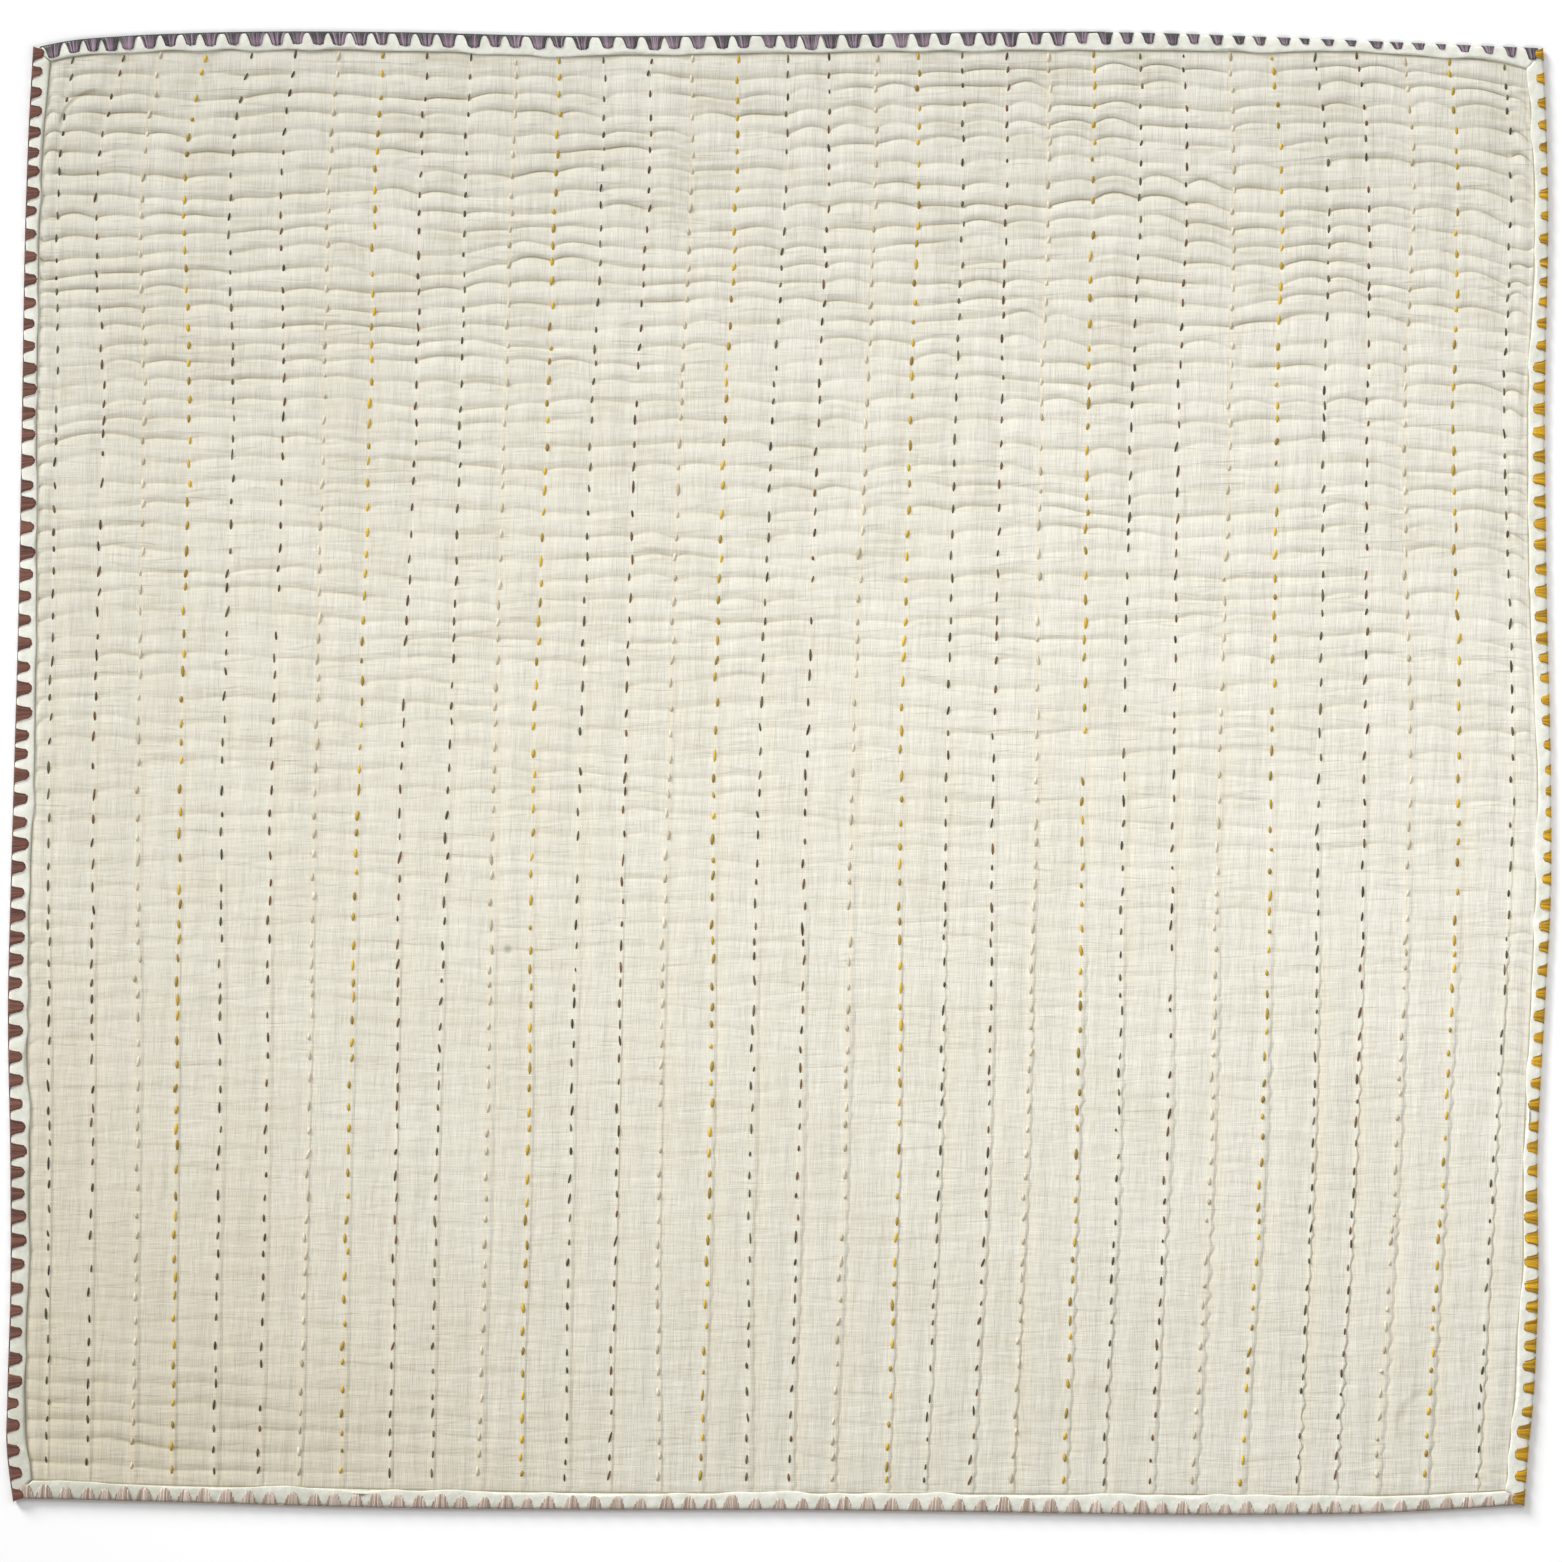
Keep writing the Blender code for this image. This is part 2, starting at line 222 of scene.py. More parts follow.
LINE_HEIGHTS = (433.0, 395.0, 220.0, -7.0, -237.0, -428.0)
LINES = (
    Line(-427.0, -433.0, -437.0, -442.0, -442.0, -443.5),
    Line(-397.0, -407.5, -409.0, -415.0, -416.0, -419.0),
    Line(-374.0, -381.5, -384.5, -388.0, -388.5, -392.0),
    Line(-347.5, -355.5, -357.0, -362.5, -365.0, -367.5),
    Line(-319.5, -328.0, -330.5, -337.0, -339.0, -342.5),
    Line(-293.0, -298.5, -300.0, -307.5, -311.0, -315.0),
    Line(-267.0, -270.5, -275.5, -281.0, -285.5, -291.0),
    Line(-239.5, -242.5, -247.5, -254.5, -261.0, -265.5),
    Line(-213.0, -215.5, -219.5, -229.0, -232.0, -236.0),
    Line(-186.5, -188.5, -192.5, -200.0, -207.5, -210.5),
    Line(-159.0, -160.5, -166.0, -173.0, -177.0, -182.0),
    Line(-133.0, -134.0, -140.0, -149.0, -152.0, -157.0),
    Line(-106.0, -106.0, -113.0, -121.0, -126.5, -129.5),
    Line(-78.0, -78.0, -86.5, -93.5, -98.0, -103.0),
    Line(-52.5, -52.5, -59.5, -67.0, -73.0, -73.0),
    Line(-25.0, -25.0, -32.5, -39.5, -42.0, -48.0),
    Line(5.0, 5.0, -3.5, -12.0, -17.5, -19.5),
    Line(30.0, 30.5, 24.0, 16.5, 12.0, 6.0),
    Line(58.5, 58.5, 53.0, 44.0, 39.5, 31.5),
    Line(84.5, 84.5, 80.0, 73.5, 72.0, 64.5),
    Line(111.0, 111.5, 107.0, 101.5, 97.0, 88.0),
    Line(138.0, 138.0, 134.5, 129.5, 126.0, 115.5),
    Line(163.0, 163.5, 158.5, 155.5, 149.5, 140.5),
    Line(190.5, 190.5, 187.0, 184.0, 180.0, 172.0),
    Line(218.5, 219.0, 213.5, 208.5, 204.5, 196.0),
    Line(244.5, 246.5, 242.0, 238.5, 234.5, 224.5),
    Line(273.0, 274.5, 273.0, 266.0, 261.0, 250.0),
    Line(298.0, 302.0, 301.5, 298.0, 292.0, 279.0),
    Line(324.0, 329.5, 330.0, 327.0, 323.0, 313.5),
    Line(350.5, 354.5, 356.0, 354.5, 348.5, 336.5),
    Line(378.5, 382.5, 378.5, 381.5, 373.0, 361.0),
    Line(405.5, 409.0, 408.0, 411.5, 402.0, 390.5),
    Line(438.5, 442.0, 439.0, 444.0, 432.5, 422.0),
)
# The ninth row is sewn in brown and the tenth in slate, out of their turn
OUT_OF_TURN = {8: Thread.BROWN, 9: Thread.SLATE}

RELIEF = (
    Relief(-450.0, 0.3, 0.25, 1.0),
    Relief(-200.0, 0.32, 0.2, 0.95),
    Relief(-50.0, 0.42, 0.1, 0.85),
    Relief(60.0, 0.6, 0.0, 0.8),
    Relief(180.0, 0.82, 0.0, 0.75),
    Relief(330.0, 1.18, 0.0, 0.7),
    Relief(450.0, 1.35, 0.0, 0.7),
)
SOFT_FOLDS = (
    SoftFold(21, 8.0, -65.0, -175.0, 0.6),
    SoftFold(26, 7.0, -275.0, -345.0, 0.6),
    SoftFold(22, 8.0, 130.0, 45.0, 0.5),
    SoftFold(18, 7.0, -120.0, -260.0, 0.45),
    SoftFold(16, 6.0, 60.0, -20.0, 0.4),
    SoftFold(30, 6.0, -330.0, -430.0, 0.7),
    SoftFold(0, 5.0, -370.0, -430.0, 0.6),
)
ARC_CREASES = (
    ArcCrease((-412.3, 390.3), 22.4, (-427.0, 406.5), 20.0, 3.0, 0.8),
    ArcCrease((398.5, -397.0), 23.5, (380.0, -384.0), 24.0, 6.0, 0.35),
)


def column_of(rows: Iterable[NamedTuple], name: str) -> list[float]:
    """One column of a table."""
    return [getattr(row, name) for row in rows]


def ramp(value: float | Array, start: float, reach: float) -> Array:
    """Rises from 0 at the start to 1 a reach further; a reach below 0 goes the other way."""
    return np.clip((value - start) / reach, 0, 1)


def bell(off: float | Array, reach: float) -> Array:
    """1 in the middle, and hardly anything beyond twice the reach."""
    return np.exp(-((off / reach) ** 2))


def smooth(places: list[float] | Array, values: list[float] | Array, at: float | Array) -> Array:
    """Runs a smooth curve through a table.

    Args:
        places: the table's rising places.
        values: the value at each place.
        at: where the curve is read.

    Returns:
        The curve's value at each of those.
    """
    places, values = np.asarray(places, float), np.asarray(values, float)
    slopes = np.gradient(values, places)
    i = np.clip(np.searchsorted(places, at) - 1, 0, len(places) - 2)
    span = places[i + 1] - places[i]
    t = (at - places[i]) / span
    start = (1 + 2 * t) * (1 - t) ** 2 * values[i] + t * (1 - t) ** 2 * span * slopes[i]
    end = t * t * (3 - 2 * t) * values[i + 1] + t * t * (t - 1) * span * slopes[i + 1]
    return start + end


def uneven(rng: np.random.Generator, shape: tuple[int, int], spread: Spread) -> Array:
    """Makes an even random field whose humps have a given size.

    Args:
        rng: the seeded source of randomness.
        shape: the field's rows and columns.
        spread: how much, and the humps' reach over each axis, in steps.

    Returns:
        The field, with a mean of 0.
    """
    field = rng.normal(size=shape)
    for axis, reach in enumerate((spread.across, spread.along)):
        size = int(math.ceil(3 * reach))
        weights = np.exp(-0.5 * (np.arange(-size, size + 1) / reach) ** 2)
        padded = np.pad(field, [(size, size) if k == axis else (0, 0) for k in (0, 1)], mode="wrap")
        field = np.apply_along_axis(lambda row: np.convolve(row, weights, mode="valid"), axis, padded)
    return spread.amount * ((field - field.mean()) / field.std())


def between(field: Array, row: Array, column: Array) -> Array:
    """Reads a field between its grid points.

    Args:
        field: values by row and column.
        row: where to read along the first axis, in steps.
        column: the same along the second axis.

    Returns:
        The values there.
    """
    i = np.clip(np.floor(row).astype(int), 0, field.shape[0] - 2)
    j = np.clip(np.floor(column).astype(int), 0, field.shape[1] - 2)
    s, t = row - i, column - j
    low = field[i, j] * (1 - t) + field[i, j + 1] * t
    high = field[i + 1, j] * (1 - t) + field[i + 1, j + 1] * t
    return low * (1 - s) + high * s


def lane_of(row: int | Array) -> float | Array:
    """The lane on which a row of quilting lies."""
    return 2.0 * (row + 1)


def way_across(lane: Array) -> Array:
    """The share of the way from a row of quilting to the next."""
    return lane / 2 - np.floor(lane / 2)


def rows_in(thread: Thread) -> list[int]:
    """The rows of quilting that are sewn in a thread."""
    turns = list(Thread)
    return [i for i in range(len(LINES)) if OUT_OF_TURN.get(i, turns[i % len(turns)]) is thread]


@dataclass(frozen=True)
class Border:
    """One side of the quilt: its table, which way is inwards, and whether it runs up the quilt."""

    name: str
    rows: tuple[Edge, ...]
    inward: int
    upright: bool
    start: str
    end: str

    @property
    def axis(self) -> int:
        """Which of x and y runs along the side."""
        return 1 if self.upright else 0

    def edge(self, along: float | Array) -> Array:
        """The outer edge at a place along the side."""
        return smooth(column_of(self.rows, "along"), column_of(self.rows, "edge"), along)

    def width(self, along: float | Array) -> Array:
        """How wide the tape shows at a place along the side."""
        return smooth(column_of(self.rows, "along"), column_of(self.rows, "width"), along)

    def place_along(self, share: Array) -> Array:
        """The place along the side at a share of the way from its start to its end."""
        first, last = self.rows[0].along, self.rows[-1].along
        return first + share * (last - first)

    def placed(self, over: float | Array, along: float | Array) -> list:
        """The x and y of what lies so far over the quilt and so far along the side."""
        return [over, along] if self.upright else [along, over]


BORDERS = {
    "left": Border("left", LEFT_EDGE, 1, True, "left_bottom", "left_top"),
    "right": Border("right", RIGHT_EDGE, -1, True, "right_bottom", "right_top"),
    "bottom": Border("bottom", BOTTOM_EDGE, 1, False, "left_bottom", "right_bottom"),
    "top": Border("top", TOP_EDGE, -1, False, "left_top", "right_top"),
}


def relief_at(name: str, height: Array) -> Array:
    """One of the columns of RELIEF at heights of the quilt."""
    return np.interp(height, column_of(RELIEF, "height"), column_of(RELIEF, name))


@dataclass
class QuiltPlan:
    """Where every row of quilting, pucker and edge of the quilt lies.

    A lane is a place across the quilt counted in half channels: lane 0 is the panel's left edge,
    even lanes are the rows of quilting, odd ones the middles between them, and the last lane is
    the right edge. A phase is a place down the quilt counted in puckers, from the top edge.
    """

    seed: int = 11
    # How far inside the tape's lip the panel ends
    gap: float = 0.3
    puckers: int = 69
    # The heights at which the ways of the rows are kept: the lowest, and from one to the next
    lowest: float = -470.0
    step: float = 2.0
    # How often the ways of two edges are followed in turn to find where they meet
    rounds: int = 10
    # How high the cloth lies: at the panel's edge, at a row of quilting, and how much higher in the
    # middle of a channel, usually and by its fullness
    seam_top: float = 3.75
    line_top: float = 3.5
    crown: float = 1.15
    full_crown: float = 0.16
    # By height, how full a channel is: low down it lies flatter, and higher up it is full up to
    # the stitches
    crown_powers: Table = ((-200.0, 150.0), (1.3, 0.8))
    # The cloth turns down into the tape all round, over this share of a channel or a pucker, and gets
    # this much painted shade where it does
    turn_reach: float = 0.2
    turn_shade: float = 0.9
    # The puckers lie closer together in the top quarter: share of their number, share of the way
    spacing: Table = ((0.0, 0.27, 0.62, 1.0), (0.0, 0.25, 0.62, 1.0))
    # How much the creases wander up and down, in wide waves and in ever smaller ones
    wanders: tuple[Spread, ...] = (Spread(2.6, 20.0, 3.0), Spread(1.9, 3.5, 0.8), Spread(0.55, 0.9, 0.5))
    # They wander fully from this many puckers off the ends on, and by this share at the sides
    calm_ends: float = 1.5
    side_wander: float = 0.4
    # How high the creases arch between two rows, by pucker, and its share at the left and the right
    arches: Table = ((0.0, 8.0, 25.0, 45.0, 69.0), (2.1, 1.9, 1.4, 0.9, 0.4))
    arch_sides: Pair = (0.55, 1.15)
    arch_spread: Spread = Spread(0.55, 2.0, 0.5)
    # Below 1, an arch is steeper on its left
    arch_lean: float = 0.8
    # How deep the creases are: their spread, the least and the most
    strength_spread: Spread = Spread(0.38, 1.8, 0.4)
    strengths: Pair = (0.25, 2.0)
    full_spread: Spread = Spread(1.0, 2.0, 4.0)
    # The margins and the lower left corner are drawn up more than the rest
    margin_draw: float = 0.3
    margin_lanes: float = 1.2
    corner_draw: float = 0.75
    corner_place: Pair = (-440.0, -415.0)
    corner_reach: Pair = (220.0, 60.0)
    # How far a crease reaches, as a share of a pucker: its valley, its shade and the welt that
    # takes its place further down; and how much of its depth the valley has and the swell above it
    sharp_reach: float = 0.08
    shade_reach: float = 0.06
    welt_reach: float = 0.1
    sharp_share: float = 0.65
    puff_share: float = 0.38
    shade_share: float = 0.42
    # Right at the stitches a crease is shallower
    row_reach: float = 0.05
    row_loss: float = 0.5
    # Some of the creases have a second, softer one below them, at this share of a pucker
    usual_second: float = 0.2
    second_spread: Spread = Spread(0.8, 1.3, 0.5)
    seconds: Pair = (0.0, 1.7)
    second_place: float = 0.34
    second_reach: float = 0.12
    second_share: float = 0.2
    second_shade: float = 0.4
    # Each row has a fold of its own width on its right, which varies along it
    usual_width: float = 3.1
    row_spread: Spread = Spread(0.8, 0.3, 30.0)
    along_spread: Spread = Spread(0.45, 0.3, 2.5)
    fold_widths: Pair = (1.7, 5.0)
    # The fold on the right of a row, by the share of the way to the next row: its rise, the dip
    # beyond it, and how far it moves where the fold is wider than usual
    usual_fold: float = 2.7
    fold_rises: Table = (
        (0.0, 0.035, 0.08, 0.1, 0.125, 0.42, 0.74, 0.95, 1.0),
        (0.8, 0.95, 0.7, 0.4, 0.25, 0.0, 0.0, 0.35, 0.8),
    )
    fold_dips: Table = ((0.0, 0.035, 0.08, 0.1, 0.125, 0.42), (0.0, 0.0, 0.15, 1.0, 0.35, 0.0))
    fold_moves: Table = (
        (0.0, 0.035, 0.08, 0.1, 0.125, 0.42, 0.74, 1.0),
        (0.0, 0.3, 0.85, 1.0, 1.0, 0.3, 0.0, 0.0),
    )
    dip_depth: float = 0.35
    # How much painted shade a dip gets: usually, by the fullness of the cloth, and at least and at most
    dip_shade: float = 0.7
    dip_full: float = 0.5
    dip_shades: Pair = (0.15, 1.2)
    # Where the lower right begins and over how far it does, down the quilt and across it; and where
    # the folds begin to be wide
    lower_from: Pair = (60.0, -250.0)
    right_from: Pair = (-150.0, 350.0)
    wide_from: Pair = (150.0, -250.0)
    # The share of each that is there everywhere, and the share that comes with the lower right: of a
    # fold's bulges between two stitches and of its dip; and of its width with the height
    bulges: Pair = (0.2, 0.8)
    dips: Pair = (0.42, 0.58)
    wides: Pair = (0.35, 0.65)
    # How much a fold bulges everywhere, and how much more beside a second crease
    bulge_usual: float = 0.5
    bulge_second: float = 0.7
    # Over how far a soft upright fold ends, and half its width
    soft_end: float = 8.0
    soft_width: float = 2.0

    def __post_init__(self) -> None:
        """Works out the corners, the lanes and the unevenness."""
        rng = np.random.default_rng(self.seed)
        self.corners = {
            upright + "_" + level: self.corner(BORDERS[upright], BORDERS[level])
            for upright in ("left", "right")
            for level in ("bottom", "top")
        }
        self.last_lane = 2 * (len(LINES) + 1)
        self.heights = np.arange(self.lowest, -self.lowest + self.step, self.step)
        self.lane_table = self.lane_places()
        self.whole_lanes = np.arange(self.last_lane + 1.0)
        self.heads, self.feet = (self.lane_ends(BORDERS[side]) for side in ("top", "bottom"))
        # Unevenness, at four places to a channel and one to a pucker
        shape = (2 * self.last_lane + 1, self.puckers + 1)
        self.wander = sum(uneven(rng, shape, spread) for spread in self.wanders)
        # Between two rows of quilting a crease mostly arches up, and most so near the top
        self.arch = 1 + uneven(rng, shape, self.arch_spread)
        self.arch *= np.interp(np.arange(shape[1]), *self.arches)
        self.arch *= np.linspace(*self.arch_sides, shape[0])[:, None]
        self.strength = np.clip(1 + uneven(rng, shape, self.strength_spread), *self.strengths)
        self.fullness = uneven(rng, shape, self.full_spread)
        rows = (len(LINES) + 2, self.puckers + 1)
        width = self.usual_width + uneven(rng, rows, self.row_spread)
        self.fold = np.clip(width + uneven(rng, rows, self.along_spread), *self.fold_widths)
        self.second = self.usual_second + uneven(rng, shape, self.second_spread)
        self.second = np.clip(self.second, *self.seconds)

    def inner_edge(self, border: Border, along: float | Array) -> Array:
        """The panel's own edge on a side, a gap inside the tape's lip."""
        return border.edge(along) + border.inward * (border.width(along) + self.gap)

    def corner(self, upright: Border, level: Border) -> Pair:
        """Finds where two of the panel's edges meet.

        Args:
            upright: the side that runs up the quilt.
            level: the side that runs across it.

        Returns:
            The corner's x and y.
        """
        x, y = 0.0, level.rows[0].edge
        for _ in range(self.rounds):
            x = float(self.inner_edge(upright, y))
            y = float(self.inner_edge(level, x))
        return x, y

    def lane_places(self) -> Array:
        """Works out how the rows of quilting run.

        Returns:
            The x of each even lane, from the left edge to the right one, at each of the heights.
        """
        lines = [smooth(LINE_HEIGHTS[::-1], line[::-1], self.heights) for line in LINES]
        sides = [self.inner_edge(BORDERS[name], self.heights) for name in ("left", "right")]
        return np.array([sides[0], *lines, sides[1]])

    def across(self, lane: Array, height: Array) -> Array:
        """The x of a lane at a height."""
        return between(self.lane_table, lane / 2, (height - self.lowest) / self.step)

    def lane_ends(self, border: Border) -> Array:
        """Finds where the lanes end.

        Args:
            border: the quilt's top or bottom side.

        Returns:
            The height at which each lane meets the panel's edge there.
        """
        height = np.full(self.whole_lanes.shape, border.rows[0].edge)
        for _ in range(self.rounds):
            height = self.inner_edge(border, self.across(self.whole_lanes, height))
        return height

    def from_sides(self, lane: Array) -> Array:
        """How many lanes away the nearer of the left and right edges is."""
        return np.minimum(lane, self.last_lane - lane)

    def from_ends(self, phase: Array) -> Array:
        """How many puckers away the nearer of the top and bottom edges is."""
        return np.minimum(phase, self.puckers - phase)

    def height_of(self, lane: Array, phase: Array) -> Array:
        """Finds how high up the quilt a lane is at a phase.

        Args:
            lane: place across, in half channels.
            phase: place down, in puckers.

        Returns:
            The height, in millimetres from the middle.
        """
        head, foot = (np.interp(lane, self.whole_lanes, ends) for ends in (self.heads, self.feet))
        share = np.interp(phase / self.puckers, *self.spacing)
        free = ramp(self.from_ends(phase), 0.0, self.calm_ends)
        free = free * ramp(self.from_sides(lane), -self.side_wander, 1.0)
        arch = np.sin(np.pi * way_across(lane) ** self.arch_lean) * between(self.arch, 2 * lane, phase)
        return head + (foot - head) * share + free * (between(self.wander, 2 * lane, phase) + arch)

    def place(self, lane: Array, phase: Array) -> tuple[Array, Array]:
        """The x and y of a lane and phase."""
        y = self.height_of(lane, phase)
        return self.across(lane, y), y

    def lower_right(self, x: Array, y: Array) -> Array:
        """How near each place is to the lower right of the quilt, from 0 to 1."""
        return ramp(y, *self.lower_from) * ramp(x, *self.right_from)

    def fold_move(self, lane: Array, phase: Array, x: Array, y: Array) -> Array:
        """How far the cloth beside a row moves to the right, where its fold is wide or bulges.

        Args:
            lane: place across, in half channels.
            phase: place down, in puckers.
            x: the place across, in millimetres.
            y: the height, in millimetres.

        Returns:
            The move to the right, in millimetres.
        """
        row = np.floor(lane / 2)
        moved = np.interp(lane / 2 - row, *self.fold_moves) * (row > 0)
        bulge = self.bulges[0] + self.bulges[1] * self.lower_right(x, y)
        bulge = bulge * (self.bulge_usual + self.bulge_second * between(self.second, 2 * lane, phase))
        width = between(self.fold, row, phase) - bulge * np.cos(2 * np.pi * phase)
        wide = self.wides[0] + self.wides[1] * ramp(y, *self.wide_from)
        return moved * wide * (width - self.usual_fold)

    def pucker(self, lane: Array, phase: Array, x: Array, y: Array) -> tuple[Array, Array]:
        """Works out the puckers that run from stitch to stitch.

        Args:
            lane: place across, in half channels.
            phase: place down, in puckers.
            x: the place across, in millimetres.
            y: the height, in millimetres.

        Returns:
            The rise of the cloth, and how much painted shade each place gets in a crease, from 0 to 1.
        """
        crease, ridge = relief_at("crease", y), relief_at("ridge", y)
        (left, low), (wide, high) = self.corner_place, self.corner_reach
        corner = np.exp(-(((x - left) / wide) ** 2) - ((y - low) / high) ** 2)
        margin = np.exp(-self.from_sides(lane) / self.margin_lanes)
        crease = crease + self.margin_draw * margin + self.corner_draw * corner
        nearest = np.round(phase)
        off = np.abs(phase - nearest)
        strength = between(self.strength, 2 * lane, nearest)
        on_row = 1 - self.row_loss * bell(lane / 2 - np.round(lane / 2), self.row_reach)
        sharp = np.exp(-off / self.sharp_reach) * strength * on_row
        puff = 0.5 * (1 + np.cos(2 * np.pi * off))
        welt = bell(off, self.welt_reach) * strength * on_row
        above = np.floor(phase)
        second = np.exp(-np.abs(phase - above - self.second_place) / self.second_reach) * on_row
        second = second * between(self.second, 2 * lane, above)
        depth = self.sharp_share * sharp + self.puff_share * puff + self.second_share * second
        shade = np.exp(-off / self.shade_reach) * strength + self.second_shade * second
        shade = crease * shade * on_row
        return -crease * depth + ridge * welt, np.clip(self.shade_share * shade, 0, 1)

    def seam(self, lane: Array, x: Array, y: Array) -> tuple[Array, Array]:
        """Works out the fold that the cloth makes along each row of quilting.

        Args:
            lane: place across, in half channels.
            x: the place across, in millimetres.
            y: the height, in millimetres.

        Returns:
            The rise of the cloth, and the painted shade of the dip on the fold's right.
        """
        size = relief_at("seam", y)
        share = way_across(lane)
        near = np.where(share > 0.5, lane < self.last_lane - 1, lane > 1)
        rise, dip = (np.interp(share, *table) for table in (self.fold_rises, self.fold_dips))
        dip = dip * (self.dips[0] + self.dips[1] * self.lower_right(x, y))
        return size * (rise - self.dip_depth * dip) * near, np.clip(size * dip * near, 0, 1)

    def folds(self, x: Array, y: Array) -> Array:
        """Works out the soft upright folds beside some rows.

        Args:
            x: the place across, in millimetres.
            y: the height, in millimetres.

        Returns:
            The rise of the cloth.
        """
        rise = np.zeros_like(x)
        for fold in SOFT_FOLDS:
            middle = self.across(np.full_like(y, lane_of(fold.line)), y) + fold.right
            inside = 1 / (1 + np.exp((y - fold.top) / self.soft_end))
            inside = inside / (1 + np.exp((fold.bottom - y) / self.soft_end))
            rise = rise + fold.rise * inside * bell(x - middle, self.soft_width)
        return rise

    def top_surface(self, lane: Array, phase: Array) -> tuple[Array, Array, Array]:
        """Works out the top of the cloth.

        Args:
            lane: place across, in half channels.
            phase: place down, in puckers.

        Returns:
            Points in millimetres, the painted shade in the creases and where the cloth turns down, and
            the painted shade beside a row.
        """
        x, y = self.place(lane, phase)
        crown = np.sin(np.pi * way_across(lane)) ** np.interp(y, *self.crown_powers)
        pucker, crease = self.pucker(lane, phase, x, y)
        rib, beside = self.seam(lane, x, y)
        full = between(self.fullness, 2 * lane, phase)
        beside = beside * np.clip(self.dip_shade + self.dip_full * full, *self.dip_shades)
        z = self.line_top + (self.crown + self.full_crown * full) * crown + pucker + rib
        z = z + self.folds(x, y)
        inside = ramp(np.minimum(self.from_sides(lane), self.from_ends(phase)), 0.0, self.turn_reach)
        z = self.seam_top * (1 - inside) + z * inside
        # Where the cloth turns down a dark line of painted shade is laid
        crease = crease * inside + self.turn_shade * np.clip(1 - 2 * inside, 0, 1)
        x = x + inside * self.fold_move(lane, phase, x, y)
        return np.stack([x, y, z], axis=-1), crease, beside * inside

    def rim(self, border: Border, share: Array, depth: Array) -> Array:
        """Finds points of the rim.

        Args:
            border: the side.
            share: share of the way along the side, from mitre to mitre.
            depth: share of the way in, from the outer edge to the panel's own edge.

        Returns:
            Their x and y, in the last axis.
        """
        outer_along = border.place_along(share)
        start, end = (self.corners[name][border.axis] for name in (border.start, border.end))
        inner_along = start + share * (end - start)
        outer, inner = border.edge(outer_along), self.inner_edge(border, inner_along)
        along = outer_along + depth * (inner_along - outer_along)
        over = outer + depth * (inner - outer)
        return np.stack(border.placed(over, along), axis=-1)


def as_object(name: str, points: Array, faces: list, values: dict[str, Array]) -> bpy.types.Object:
    """Makes a mesh object at the origin.

    Args:
        name: the piece's name.
        points: its points, in millimetres.
        faces: its faces, as lists of point numbers.
        values: numbers kept on its points, by name.

    Returns:
        The object, linked to the scene, with its faces outwards and smooth.
    """
    data = bpy.data.meshes.new(name)
    data.from_pydata((np.asarray(points) * MM).tolist(), [], faces)
    mesh = bmesh.new()
    mesh.from_mesh(data)
    bmesh.ops.recalc_face_normals(mesh, faces=mesh.faces)
    mesh.to_mesh(data)
    mesh.free()
    for key, numbers in values.items():
        layer = data.attributes.new(key, "FLOAT", "POINT")
        layer.data.foreach_set("value", np.asarray(numbers, np.float32))
    data.shade_smooth()
    piece = bpy.data.objects.new(name, data)
    bpy.context.scene.collection.objects.link(piece)
    return piece


def grid_faces(rows: int, columns: int, start: int = 0) -> list:
    """The faces of a grid of points that are numbered row by row.

    Args:
        rows: how many rows it has.
        columns: how many columns.
        start: the first point's number.

    Returns:
        The faces, as lists of four point numbers.
    """
    number = start + np.arange(rows * columns).reshape(rows, columns)
    corners = (number[:-1, :-1], number[1:, :-1], number[1:, 1:], number[:-1, 1:])
    return np.stack(corners, axis=-1).reshape(-1, 4).tolist()


def band_faces(first: Array, second: Array) -> list:
    """The faces between two closed rings of as many points."""
    after, beyond = np.roll(first, -1), np.roll(second, -1)
    return np.stack((first, after, beyond, second), axis=-1).tolist()


def zipped_faces(first: Array, second: Array, points: Array) -> list:
    """Closes the strip between two rings that have different numbers of points.

    Args:
        first: point numbers of one ring, from its corner on.
        second: point numbers of the other, from the same corner and the same way round.
        points: all the points.

    Returns:
        The strip's triangles.
    """
    ways = []
    for ring in (first, second):
        steps = np.linalg.norm(np.diff(points[np.append(ring, ring[0])], axis=0), axis=1)
        ways.append(np.concatenate(([0], np.cumsum(steps) / steps.sum())))
    i = j = 0
    faces = []
    while i < len(first) or j < len(second):
        here, there = first[i % len(first)], second[j % len(second)]
        if j == len(second) or (i < len(first) and ways[0][i + 1] <= ways[1][j + 1]):
            faces.append((here, first[(i + 1) % len(first)], there))
            i += 1
        else:
            faces.append((here, second[(j + 1) % len(second)], there))
            j += 1
    return [tuple(int(k) for k in face) for face in faces]


def ring_of(number: Array) -> Array:
    """The numbers round a grid's edge: down the left, along the bottom, up the right and back."""
    return np.concatenate((number[:-1, 0], number[-1, :-1], number[:0:-1, -1], number[0, :0:-1]))


class Piece:
    """A piece of the quilt that is one mesh."""

    def build(self) -> bpy.types.Object:
        """Models the piece, which each kind does in its own way."""
        raise NotImplementedError

    def dress(self, piece: bpy.types.Object, material: bpy.types.Material) -> None:
        """Gives the piece its material and lays it on the quilt's body."""
        piece.data.materials.append(material)
        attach(piece, "root")

    def finished(self, material: bpy.types.Material) -> bpy.types.Object:
        """Builds, dresses and reports the piece.

        Args:
            material: what it is made of.

        Returns:
            The mesh object.
        """
        piece = self.build()
        self.dress(piece, material)
        log.info("%s: %d faces", piece.name, len(piece.data.polygons))
        return piece


